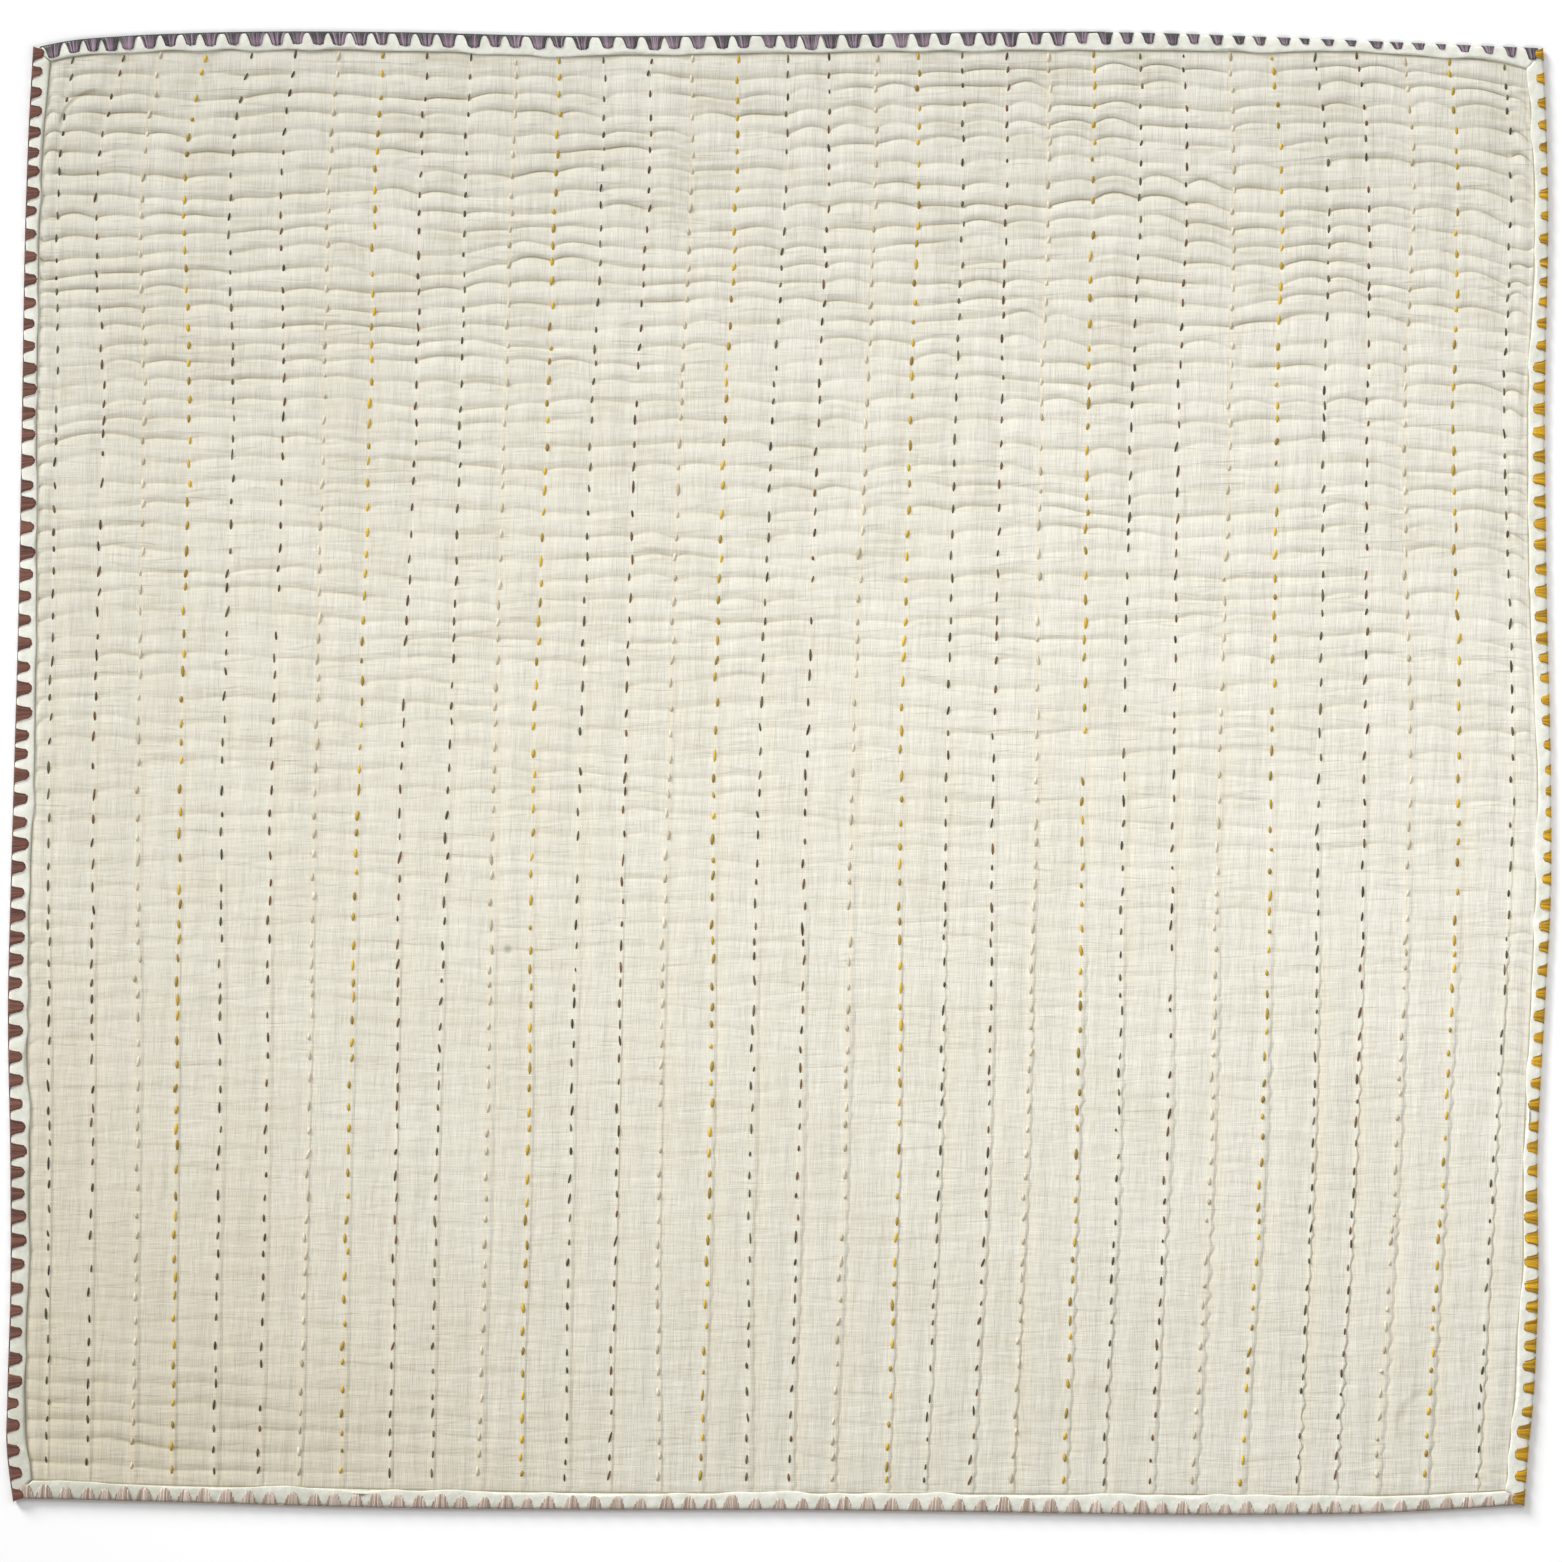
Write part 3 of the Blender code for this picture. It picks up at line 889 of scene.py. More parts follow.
@dataclass
class QuiltedPanel(Piece):
    """The muslin panel: channels between rows of quilting, puckered from stitch to stitch."""

    plan: QuiltPlan
    name: str = "muslin_panel"
    # Where a channel has its columns of points: evenly spread near the top, where the creases arch,
    # and close beside the rows of quilting further down, between the two puckers named
    even_shares: tuple[float, ...] = (0.0, 0.05, 0.13, 0.26, 0.42, 0.58, 0.75, 0.93)
    column_shares: tuple[float, ...] = (0.0, 0.035, 0.08, 0.1, 0.125, 0.42, 0.74, 0.95)
    gathered: Pair = (26.0, 44.0)
    # Where a pucker has its rows of points, close together beside its crease; fewer in the lower
    # part, where the creases are shallow
    row_shares: tuple[float, ...] = (0.0, 0.09, 0.34, 0.66, 0.91)
    shallow_shares: tuple[float, ...] = (0.0, 0.12, 0.5, 0.88)
    shallow_from: int = 41
    # How far in the margin's wall stands, as a share of the rim, and its top and foot
    margin_reach: float = 0.4
    margin_heights: Pair = (3.4, 1.3)
    foot_inset: float = 1.5
    underside_low: float = 0.15
    underside_rise: float = 0.9
    # How much the thread on the back shows through: mustard in the lower left, natural, and any
    through_shares: Triple = (0.4, 0.22, 0.12)
    through_left: Pair = (0.0, -350.0)
    through_low: Pair = (100.0, -300.0)

    def lanes(self, phases: Array) -> Array:
        """Spreads the points across the panel.

        Args:
            phases: the phase of each row of points.

        Returns:
            The lane of each point on top, by row and column.
        """
        lower = np.interp(phases, self.gathered, (0.0, 1.0))[:, None]
        shares = (1 - lower) * np.array(self.even_shares) + lower * np.array(self.column_shares)
        channels = np.arange(self.plan.last_lane // 2)[None, :, None]
        places = 2 * (channels + shares[:, None, :]).reshape(len(phases), -1)
        return np.column_stack([places, np.full(len(phases), float(self.plan.last_lane))])

    def phases(self) -> Array:
        """Spreads the rows of points down the panel.

        Returns:
            The phase of each.
        """
        deep, shallow = range(self.shallow_from), range(self.shallow_from, self.plan.puckers)
        places = [row + share for row in deep for share in self.row_shares]
        places += [row + share for row in shallow for share in self.shallow_shares]
        return np.array(places + [float(self.plan.puckers)])

    def margin(self, top: Array) -> list[Array]:
        """Works out the margin that the tape folds round.

        Args:
            top: the top's grid of points.

        Returns:
            Rings of points outwards, down and back in, in the order of ring_of.
        """
        sides = {"left": top[:, 0], "bottom": top[-1], "right": top[::-1, -1], "top": top[0, ::-1]}
        rings = []
        for height in self.margin_heights:
            ring = []
            for side_name, points in sides.items():
                border = BORDERS[side_name]
                along = points[:, border.axis]
                low, high = min(along[0], along[-1]), max(along[0], along[-1])
                share = (along - low) / (high - low)
                flat = self.plan.rim(border, share, np.full_like(share, self.margin_reach))
                ring.append(np.column_stack([flat, np.full(len(flat), height)])[:-1])
            rings.append(np.concatenate(ring))
        return rings

    def underside(self) -> Array:
        """Works out the panel's back.

        Returns:
            Its grid of points, one to each whole lane and pucker.
        """
        puckers = np.arange(self.plan.puckers + 1.0)
        lane, phase = np.meshgrid(self.plan.whole_lanes, puckers)
        x, y = (way * (1 - self.foot_inset / abs(way).max()) for way in self.plan.place(lane, phase))
        rise = self.underside_rise * (1 - (lane % 2))
        return np.stack([x, y, self.underside_low + rise], axis=-1)

    def through(self, lane: Array, top: Array) -> Array:
        """How much the thread on the back shows through the cloth.

        Args:
            lane: the lane of each point on top.
            top: those points.

        Returns:
            The amount at each point, from 0 to 1.
        """
        row = (lane / 2 - 1).round().astype(int)
        low = ramp(top[..., 0], *self.through_left) * ramp(top[..., 1], *self.through_low)
        in_mustard, in_natural, in_any = self.through_shares
        mustard, natural = (np.isin(row, rows_in(name)) for name in (Thread.MUSTARD, Thread.NATURAL))
        through = mustard * in_mustard * low + natural * in_natural + in_any * (1 + low)
        return through * (lane == lane_of(row)) * (row >= 0) * (row < len(LINES))

    def build(self) -> bpy.types.Object:
        """Models the panel as one closed body.

        Returns:
            The panel.
        """
        phases = self.phases()
        lane = self.lanes(phases)
        phase = np.broadcast_to(phases[:, None], lane.shape)
        top, crease, beside = self.plan.top_surface(lane, phase)
        faces = grid_faces(*lane.shape)
        points = [top.reshape(-1, 3)]
        ring = ring_of(np.arange(lane.size).reshape(lane.shape))
        for outer in self.margin(top):
            following = sum(map(len, points)) + np.arange(len(outer))
            faces += band_faces(ring, following)
            points.append(outer)
            ring = following
        under = self.underside()
        start = sum(map(len, points))
        under_number = start + np.arange(under[..., 0].size).reshape(under.shape[:2])
        faces += grid_faces(*under.shape[:2], start=start)
        points = np.concatenate([*points, under.reshape(-1, 3)])
        faces += zipped_faces(ring, ring_of(under_number), points)
        rest = np.zeros(len(points) - lane.size)
        # The crease and beside values are painted shade; through is how much of the thread on the back
        # shows through the cloth
        shades = {"through": self.through(lane, top), "crease": crease, "beside": beside}
        values = {name: np.concatenate([shade.ravel(), rest]) for name, shade in shades.items()}
        return as_object(self.name, points, faces, values)

    def dress(self, piece: bpy.types.Object, material: bpy.types.Material) -> None:
        """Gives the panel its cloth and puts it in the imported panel's place.

        Args:
            piece: the panel.
            material: its cloth.
        """
        super().dress(piece, material)
        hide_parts("quilt_panel")


@dataclass
class BindingTape(Piece):
    """A length of tape folded round one side of the quilt, mitred at both ends."""

    plan: QuiltPlan
    border: Border
    teeth: Array
    seed: int
    steps: int = 420
    waviness: float = 0.14
    lip_wander: float = 0.6
    # Two of these rows of unevenness are the waves of the tape and of its lip
    wave_rows: tuple[int, tuple[int, int]] = (8, (1, 5))
    wave_spread: Spread = Spread(1.0, 0.3, 3.0)
    # The cloth swells between the scallops' threads, upwards and a little outwards
    swell: float = 0.3
    swell_loss: float = 0.5
    bulge: float = 0.25
    # Which part does: how far in, and from what height on
    outer_reach: float = 0.3
    outer_heights: Pair = (1.0, 2.0)
    bulge_depth: float = 0.12
    # Which part waves, and which is the lip
    upper_heights: Pair = (2.5, 2.0)
    lip: Section = Section(0.8, 4.0)
    section: tuple[Section, ...] = (
        Section(0.97, 0.3),
        Section(0.5, 0.5),
        Section(0.15, 0.55),
        Section(0.05, 0.9),
        Section(0.01, 1.6),
        Section(0.0, 2.4),
        Section(0.01, 3.1),
        Section(0.04, 3.75),
        Section(0.09, 4.15),
        Section(0.17, 4.4),
        Section(0.32, 4.6),
        Section(0.5, 4.75),
        Section(0.7, 4.88),
        Section(0.88, 4.94),
        Section(0.95, 4.76),
        Section(0.97, 4.45),
        Section(0.965, 3.85),
        Section(0.5, 3.8),
        Section(0.24, 3.7),
        Section(0.2, 2.4),
        Section(0.24, 1.1),
        Section(0.9, 0.9),
    )

    def between_teeth(self, along: Array) -> Array:
        """How far each place along the side is from the scallops: 0 at one, 1 half way between."""
        phase = np.interp(along, self.teeth, np.arange(len(self.teeth)))
        return 0.5 * (1 - np.cos(2 * np.pi * phase))

    def build(self) -> bpy.types.Object:
        """Models the tape as one closed strip.

        Returns:
            The tape.
        """
        share = np.linspace(0, 1, self.steps)
        depths, heights = (np.array(column_of(self.section, name)) for name in ("depth", "height"))
        share_grid, depth_grid = np.meshgrid(share, depths, indexing="ij")
        flat = self.plan.rim(self.border, share_grid, depth_grid)
        axis, inward = self.border.axis, self.border.inward
        outer = bell(depths, self.outer_reach) * ramp(heights, *self.outer_heights)
        free = self.between_teeth(flat[:, 0, axis])[:, None] * outer[None, :]
        flat[..., axis] += self.plan.gap / math.sqrt(2) * (1 - 2 * share)[:, None]
        flat[..., 1 - axis] -= inward * self.bulge * free * (depths < self.bulge_depth)
        rng = np.random.default_rng(self.seed)
        count, chosen = self.wave_rows
        waves, lip = uneven(rng, (count, self.steps), self.wave_spread)[list(chosen)]
        at_lip = (depths > self.lip.depth) & (heights > self.lip.height)
        flat[..., 1 - axis] += inward * self.lip_wander * lip[:, None] * at_lip
        z = heights + self.waviness * waves[:, None] * ramp(heights, *self.upper_heights)
        z = z + self.swell * (free - self.swell_loss * outer)
        points = np.concatenate([flat, z[..., None]], axis=-1).reshape(-1, 3)
        number = np.arange(len(points)).reshape(self.steps, len(depths))
        faces = [face for pair in zip(number, number[1:]) for face in band_faces(*pair)]
        faces += [number[0].tolist(), number[-1].tolist()]
        return as_object("tape_" + self.border.name, points, faces, {})

    def dress(self, piece: bpy.types.Object, material: bpy.types.Material) -> None:
        """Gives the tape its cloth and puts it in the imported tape's place.

        Args:
            piece: the tape.
            material: its cloth.
        """
        super().dress(piece, material)
        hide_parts("binding_" + self.border.name)


@dataclass(frozen=True)
class ThreadLengths:
    """Many short lengths of thread that are modelled as one mesh.

    paths has the middle of each length, as lengths by points by three numbers in millimetres,
    sideways the flat direction across each, half_width and half_height half the thread's width and
    height at each point, and tone how light each length's colour is.
    """

    paths: Array
    sideways: Array
    half_width: Array
    half_height: Array
    tone: Array
    sides: int

    def mesh(self, name: str) -> bpy.types.Object:
        """Models the lengths.

        Args:
            name: the piece's name.

        Returns:
            The mesh object.
        """
        count, rings, _ = self.paths.shape
        angle = 2 * np.pi * np.arange(self.sides) / self.sides
        across = np.cos(angle)[None, None, :, None] * self.half_width[..., None, None]
        up = np.sin(angle)[None, None, :, None] * self.half_height[..., None, None]
        flat = np.column_stack([self.sideways, np.zeros(count)])[:, None, None, :]
        points = self.paths[:, :, None, :] + across * flat + up * np.array([0.0, 0.0, 1.0])
        number = np.arange(count * rings * self.sides).reshape(count, rings, self.sides)
        following = np.roll(number, -1, axis=2)
        corners = (number[:, :-1], following[:, :-1], following[:, 1:], number[:, 1:])
        faces = np.stack(corners, axis=-1).reshape(-1, 4).tolist()
        faces += number[:, 0].tolist() + number[:, -1].tolist()
        values = {
            "tone": np.repeat(self.tone, rings * self.sides),
            "way": np.tile(np.repeat(np.linspace(0, 1, rings), self.sides), count),
        }
        return as_object(name, points.reshape(-1, 3), faces, values)


@dataclass
class RunningStitches(Piece):
    """All the quilting stitches in one colour of thread, on the face and on the back."""

    plan: QuiltPlan
    thread: Thread
    seed: int
    width: float
    flatness: float = 0.72
    sides: int = 6
    missing: float = 0.012
    # The first stitch of a row starts right below the tape, the others sit on the creases
    first: float = 0.22
    from_tape: Pair = (0.17, 0.3)
    # How unlike the stitches are: in place along the row and beside it, width, lean and length
    phase_spread: float = 0.055
    side_spread: float = 0.45
    width_spread: float = 0.12
    widths: Pair = (0.7, 1.3)
    lean: float = 0.06
    lean_spread: float = 0.1
    lean_step: float = 5.0
    length_spread: float = 0.18
    lengths_kept: Pair = (0.35, 1.45)
    # Their length by height: they are longest about the middle of the quilt
    usual_lengths: Table = ((-440.0, -150.0, 100.0, 440.0), (5.4, 6.2, 6.8, 5.2))
    # The lower right was sewn in shorter stitches, and less evenly
    right_shorter: float = 0.12
    right_spread: float = 0.1
    # How a stitch runs from end to end: shares of its length, of its rise and of its width
    arch: Table = (
        (-0.5, -0.4, -0.18, 0.1, 0.36, 0.5),
        (-0.7, 0.1, 0.9, 1.0, 0.3, -0.7),
        (0.25, 0.6, 1.0, 1.0, 0.75, 0.25),
    )
    rise: float = 0.45
    clear: float = 0.05
    back_height: float = 1.25
    back_rise: float = 0.3

    def lengths(self, rng: np.random.Generator, back: bool) -> tuple[Array, Array, Array]:
        """Works out the stitches on one face of the quilt.

        Args:
            rng: the seeded source of randomness.
            back: whether they are the ones underneath, half way between those on top.

        Returns:
            Their paths, the flat direction across each, and half their width along them.
        """
        plan = self.plan
        row, pucker = np.meshgrid(rows_in(self.thread), np.arange(plan.puckers), indexing="ij")
        row, pucker = row.ravel(), pucker.ravel()
        kept = rng.random(row.size) > self.missing
        row, pucker = row[kept], pucker[kept]
        count = row.size
        lane = lane_of(row)
        phase = np.where(pucker > 0, pucker, self.first) + 0.5 * back
        phase = phase + rng.normal(0, self.phase_spread, count)
        phase = np.clip(phase, self.from_tape[0], plan.puckers - self.from_tape[1])
        width = self.width * np.clip(rng.normal(1, self.width_spread, count), *self.widths)
        x, y = plan.place(lane, phase)
        lean = np.arctan2(plan.across(lane, y + self.lean_step) - x, self.lean_step)
        lean = lean + rng.normal(self.lean, self.lean_spread, count)
        right = plan.lower_right(x, y)
        usual = np.interp(y, *self.usual_lengths) * (1 - self.right_shorter * right)
        spread = self.length_spread + self.right_spread * right
        length = usual * np.clip(1 + spread * rng.normal(size=count), *self.lengths_kept)
        x = x + rng.normal(0, self.side_spread, count)
        heading = np.column_stack([np.sin(lean), np.cos(lean)])
        sideways = np.column_stack([np.cos(lean), -np.sin(lean)])
        share, lift, girth = np.array(self.arch)
        middle = np.column_stack([x, y])[:, None, :]
        flat = middle + heading[:, None, :] * (length[:, None] * share)[..., None]
        surface, _, _ = plan.top_surface(lane, phase)
        z = surface[:, 2][:, None] + self.clear + self.rise * lift[None, :]
        if back:
            z = np.tile(self.back_height - self.back_rise * lift[None, :], (count, 1))
        half_width = 0.5 * width[:, None] * girth[None, :]
        return np.concatenate([flat, z[..., None]], axis=-1), sideways, half_width

    def build(self) -> bpy.types.Object:
        """Models the stitches on the face and the back.

        Returns:
            One mesh that holds them all.
        """
        rng = np.random.default_rng(self.seed)
        both = [self.lengths(rng, back) for back in (False, True)]
        paths, sideways, half_width = (np.concatenate(parts) for parts in zip(*both))
        half_height = self.flatness * half_width
        tone = rng.random(len(paths))
        made = ThreadLengths(paths, sideways, half_width, half_height, tone, self.sides)
        return made.mesh("stitches_" + self.thread.value)


@dataclass
class ScallopedEdge(Piece):
    """The satin stitching along one side: teeth of threads that wrap over the tape's outer edge."""

    border: Border
    rows: tuple[Scallop, ...]
    first: float
    last: float
    seed: int
    # How far the tip leans along the side, how much the threads draw together towards it, and how
    # much shorter the outer ones are
    lean: float = 0.0
    draw: float = 0.4
    rounding: float = 0.4
    rounding_power: float = 3.5
    strands: int = 9
    thread_width: float = 1.25
    flatness: float = 0.6
    sides: int = 5
    lift: float = 0.22
    # How much the threads spread where they go over the edge, and how far in that ends
    flare: float = 0.22
    flare_reach: float = 0.7
    unevenness: float = 0.08
    end_spread: float = 0.15
    # How light the threads are: usually, how unlike, and how much darker the outermost ones are drawn,
    # which is painted shade at a tooth's flanks
    tone: float = 0.5
    tone_spread: float = 0.3
    flank_shade: float = 0.4
    flank_shade_power: int = 4
    # The way of a thread round the edge, from under the tape to the top: depth and height
    wrap: tuple[Section, ...] = (
        Section(2.5, 0.5),
        Section(0.5, 0.7),
        Section(-0.3, 1.6),
        Section(-0.35, 2.9),
        Section(0.1, 3.9),
        Section(0.9, 4.4),
    )
    # From there on: shares of the way to its tip, how high the tape lies by depth, and how deep
    # and narrow the tip ends
    onward: tuple[float, ...] = (0.35, 0.7, 0.93, 1.0)
    tape_heights: Table = ((0.0, 1.6, 3.2, 9.0), (4.1, 4.42, 4.65, 4.94))
    tip_drop: float = 0.35
    tip_width: float = 0.45

    def read(self, name: str, along: float | Array) -> Array:
        """A column of the side's table at places along it."""
        return np.interp(along, column_of(self.rows, "along"), column_of(self.rows, name))

    def teeth(self) -> Array:
        """Spreads the teeth along the side, a little unevenly.

        Returns:
            The middle of each, from its lowest place on.
        """
        rng = np.random.default_rng(self.seed)
        steps = [0.0]
        while self.first + sum(steps) < self.last:
            steps.append(float(self.read("pitch", self.first + sum(steps))))
        steps = np.array(steps) * (1 + self.unevenness * rng.normal(size=len(steps)))
        return self.first + np.cumsum(steps) * (self.last - self.first) / steps.sum()

    def build(self) -> bpy.types.Object:
        """Models the teeth.

        Returns:
            One mesh that holds all their threads.
        """
        rng = np.random.default_rng(self.seed + 1)
        teeth = self.teeth()
        tooth, offset = np.meshgrid(teeth, np.linspace(-1, 1, self.strands), indexing="ij")
        tooth, offset = tooth.ravel(), offset.ravel()
        count = tooth.size
        unlike = np.repeat(rng.normal(1, self.unevenness, len(teeth)), self.strands)
        length = self.read("length", tooth) * unlike
        base = 0.5 * (self.read("base", tooth) * unlike - self.thread_width)
        end = length * (1 - self.rounding * np.abs(offset) ** self.rounding_power)
        end = end + rng.normal(0, self.end_spread, count)
        wrap_depth, wrap_height = (np.array(column_of(self.wrap, name)) for name in ("depth", "height"))
        start = wrap_depth[-1]
        reach = start + (end[:, None] - start) * np.array(self.onward)[None, :]
        depth = np.concatenate([np.tile(wrap_depth, (count, 1)), reach], axis=1)
        over_tape = np.interp(reach, *self.tape_heights) + self.lift
        over_tape[:, -1] -= self.tip_drop
        round_edge = np.tile(wrap_height + self.lift * (wrap_height > 1), (count, 1))
        z = np.concatenate([round_edge, over_tape], axis=1)
        share = np.clip(depth / length[:, None], 0, 1)
        flared = self.flare * np.exp(-np.clip(depth, 0, None) / self.flare_reach)
        narrow = 1 - self.draw * share + flared
        along = tooth[:, None] + (base * offset)[:, None] * narrow + self.lean * share
        over = self.border.edge(along) + self.border.inward * depth
        paths = np.stack([*self.border.placed(over, along), z], axis=-1)
        sideways = np.tile(self.border.placed(0.0, 1.0), (count, 1))
        half_width = np.full(depth.shape, 0.5 * self.thread_width)
        half_width[:, -1] *= self.tip_width
        tone = rng.normal(self.tone, self.tone_spread, count)
        # Painted shade: the outermost threads of a tooth are darker
        tone = tone - self.flank_shade * np.abs(offset) ** self.flank_shade_power
        half_height = self.flatness * half_width
        made = ThreadLengths(paths, sideways, half_width, half_height, tone, self.sides)
        return made.mesh("scallops_" + self.border.name)


@dataclass
class EdgeThread(Piece):
    """The thread that runs along a side's outermost edge, between the scallops."""

    border: Border
    # Where it ends, as a share of the side, its points, and how far out it lies
    until: float
    steps: int
    out: float
    # Where it starts, as a share too
    begin: float = 0.004
    height: float = 3.1
    half_width: float = 0.5
    half_height: float = 0.8
    tone: float = 0.1
    sides: int = 6

    def build(self) -> bpy.types.Object:
        """Models the thread.

        Returns:
            The thread as one long tube.
        """
        along = self.border.place_along(np.linspace(self.begin, self.until, self.steps))
        over = self.border.edge(along) - self.border.inward * self.out
        path = np.stack([*self.border.placed(over, along), np.full(self.steps, self.height)], axis=-1)
        sideways = np.array([self.border.placed(1.0, 0.0)])
        half_width, half_height = (
            np.full((1, self.steps), half) for half in (self.half_width, self.half_height)
        )
        tone = np.array([self.tone])
        made = ThreadLengths(path[None], sideways, half_width, half_height, tone, self.sides)
        return made.mesh("edge_thread_" + self.border.name)


def linear(hex_colour: str) -> tuple[float, float, float, float]:
    """Turns an sRGB hex colour to the linear one that shaders take.

    Args:
        hex_colour: such as "E8E4D2".

    Returns:
        Red, green, blue and alpha.
    """
    shares = [int(hex_colour[i : i + 2], 16) / 255 for i in (0, 2, 4)]
    turned = [s / 12.92 if s <= 0.04045 else ((s + 0.055) / 1.055) ** 2.4 for s in shares]
    return (*turned, 1.0)


def add_node(
    tree: Tree, kind: str, inputs: dict | tuple, output: str | int = 0, **settings: object
) -> Socket:
    """Adds a node with its settings and links.

    Args:
        tree: the material's node tree.
        kind: the node's type, without ShaderNode before it.
        inputs: a value or another node's output for each socket, by name or number or in order.
        output: which of its outputs is wanted.
        settings: its properties.

    Returns:
        That output.
    """
    made = tree.nodes.new("ShaderNode" + kind)
    for name, value in settings.items():
        setattr(made, name, value)
    for socket, value in inputs.items() if isinstance(inputs, dict) else enumerate(inputs):
        if isinstance(value, Socket):
            tree.links.new(value, made.inputs[socket])
        else:
            made.inputs[socket].default_value = value
    return made.outputs[output]


def new_material(name: str, roughness: float) -> tuple[bpy.types.Material, Tree, bpy.types.Node]:
    """Starts a material.

    Args:
        name: the material's common name and finish.
        roughness: how matt it is.

    Returns:
        The material, its tree and its shader.
    """
    material = bpy.data.materials.new(name)
    material.use_nodes = True
    shader = material.node_tree.nodes["Principled BSDF"]
    shader.inputs["Roughness"].default_value = roughness
    return material, material.node_tree, shader


def lower_left(tree: Tree, place: Socket, span: Span) -> Socket:
    """Adds how far to the lower left a point is, which the cloths use for painted shade there, and the
    muslin for a warmer tint.

    Args:
        tree: the material's node tree.
        place: the point on the cloth, in metres.
        span: two sums of x and y, in metres, and the amount at each.

    Returns:
        The amount at each point.
    """
    lean = add_node(tree, "VectorMath", (place, (1.0, 1.0, 0.0)), "Value", operation="DOT_PRODUCT")
    return add_node(tree, "MapRange", (lean, *span))


def layered(tree: Tree, first: str, layers: Iterable[tuple[Socket, str]]) -> Socket:
    """Lays colours over one another.

    Args:
        tree: the material's node tree.
        first: the lowest colour.
        layers: how much of each further colour there is, and the colour.

    Returns:
        The colour at each point.
    """
    colour = linear(first)
    for amount, further in layers:
        colour = add_node(tree, "Mix", {0: amount, 6: colour, 7: linear(further)}, 2, data_type="RGBA")
    return colour


def link_relief(tree: Tree, shader: bpy.types.Node, reliefs: Iterable[tuple[Socket, float]]) -> None:
    """Adds reliefs up as one height and bumps the shader with it.

    Args:
        tree: the material's node tree.
        shader: the shader.
        reliefs: each relief's strength and how high it is at 1, in millimetres.
    """
    height = 0.0
    for strength, depth in reliefs:
        height = add_node(tree, "Math", (strength, depth, height), operation="MULTIPLY_ADD")
    raised = add_node(tree, "Bump", {"Distance": MM, "Height": height})
    tree.links.new(raised, shader.inputs["Normal"])


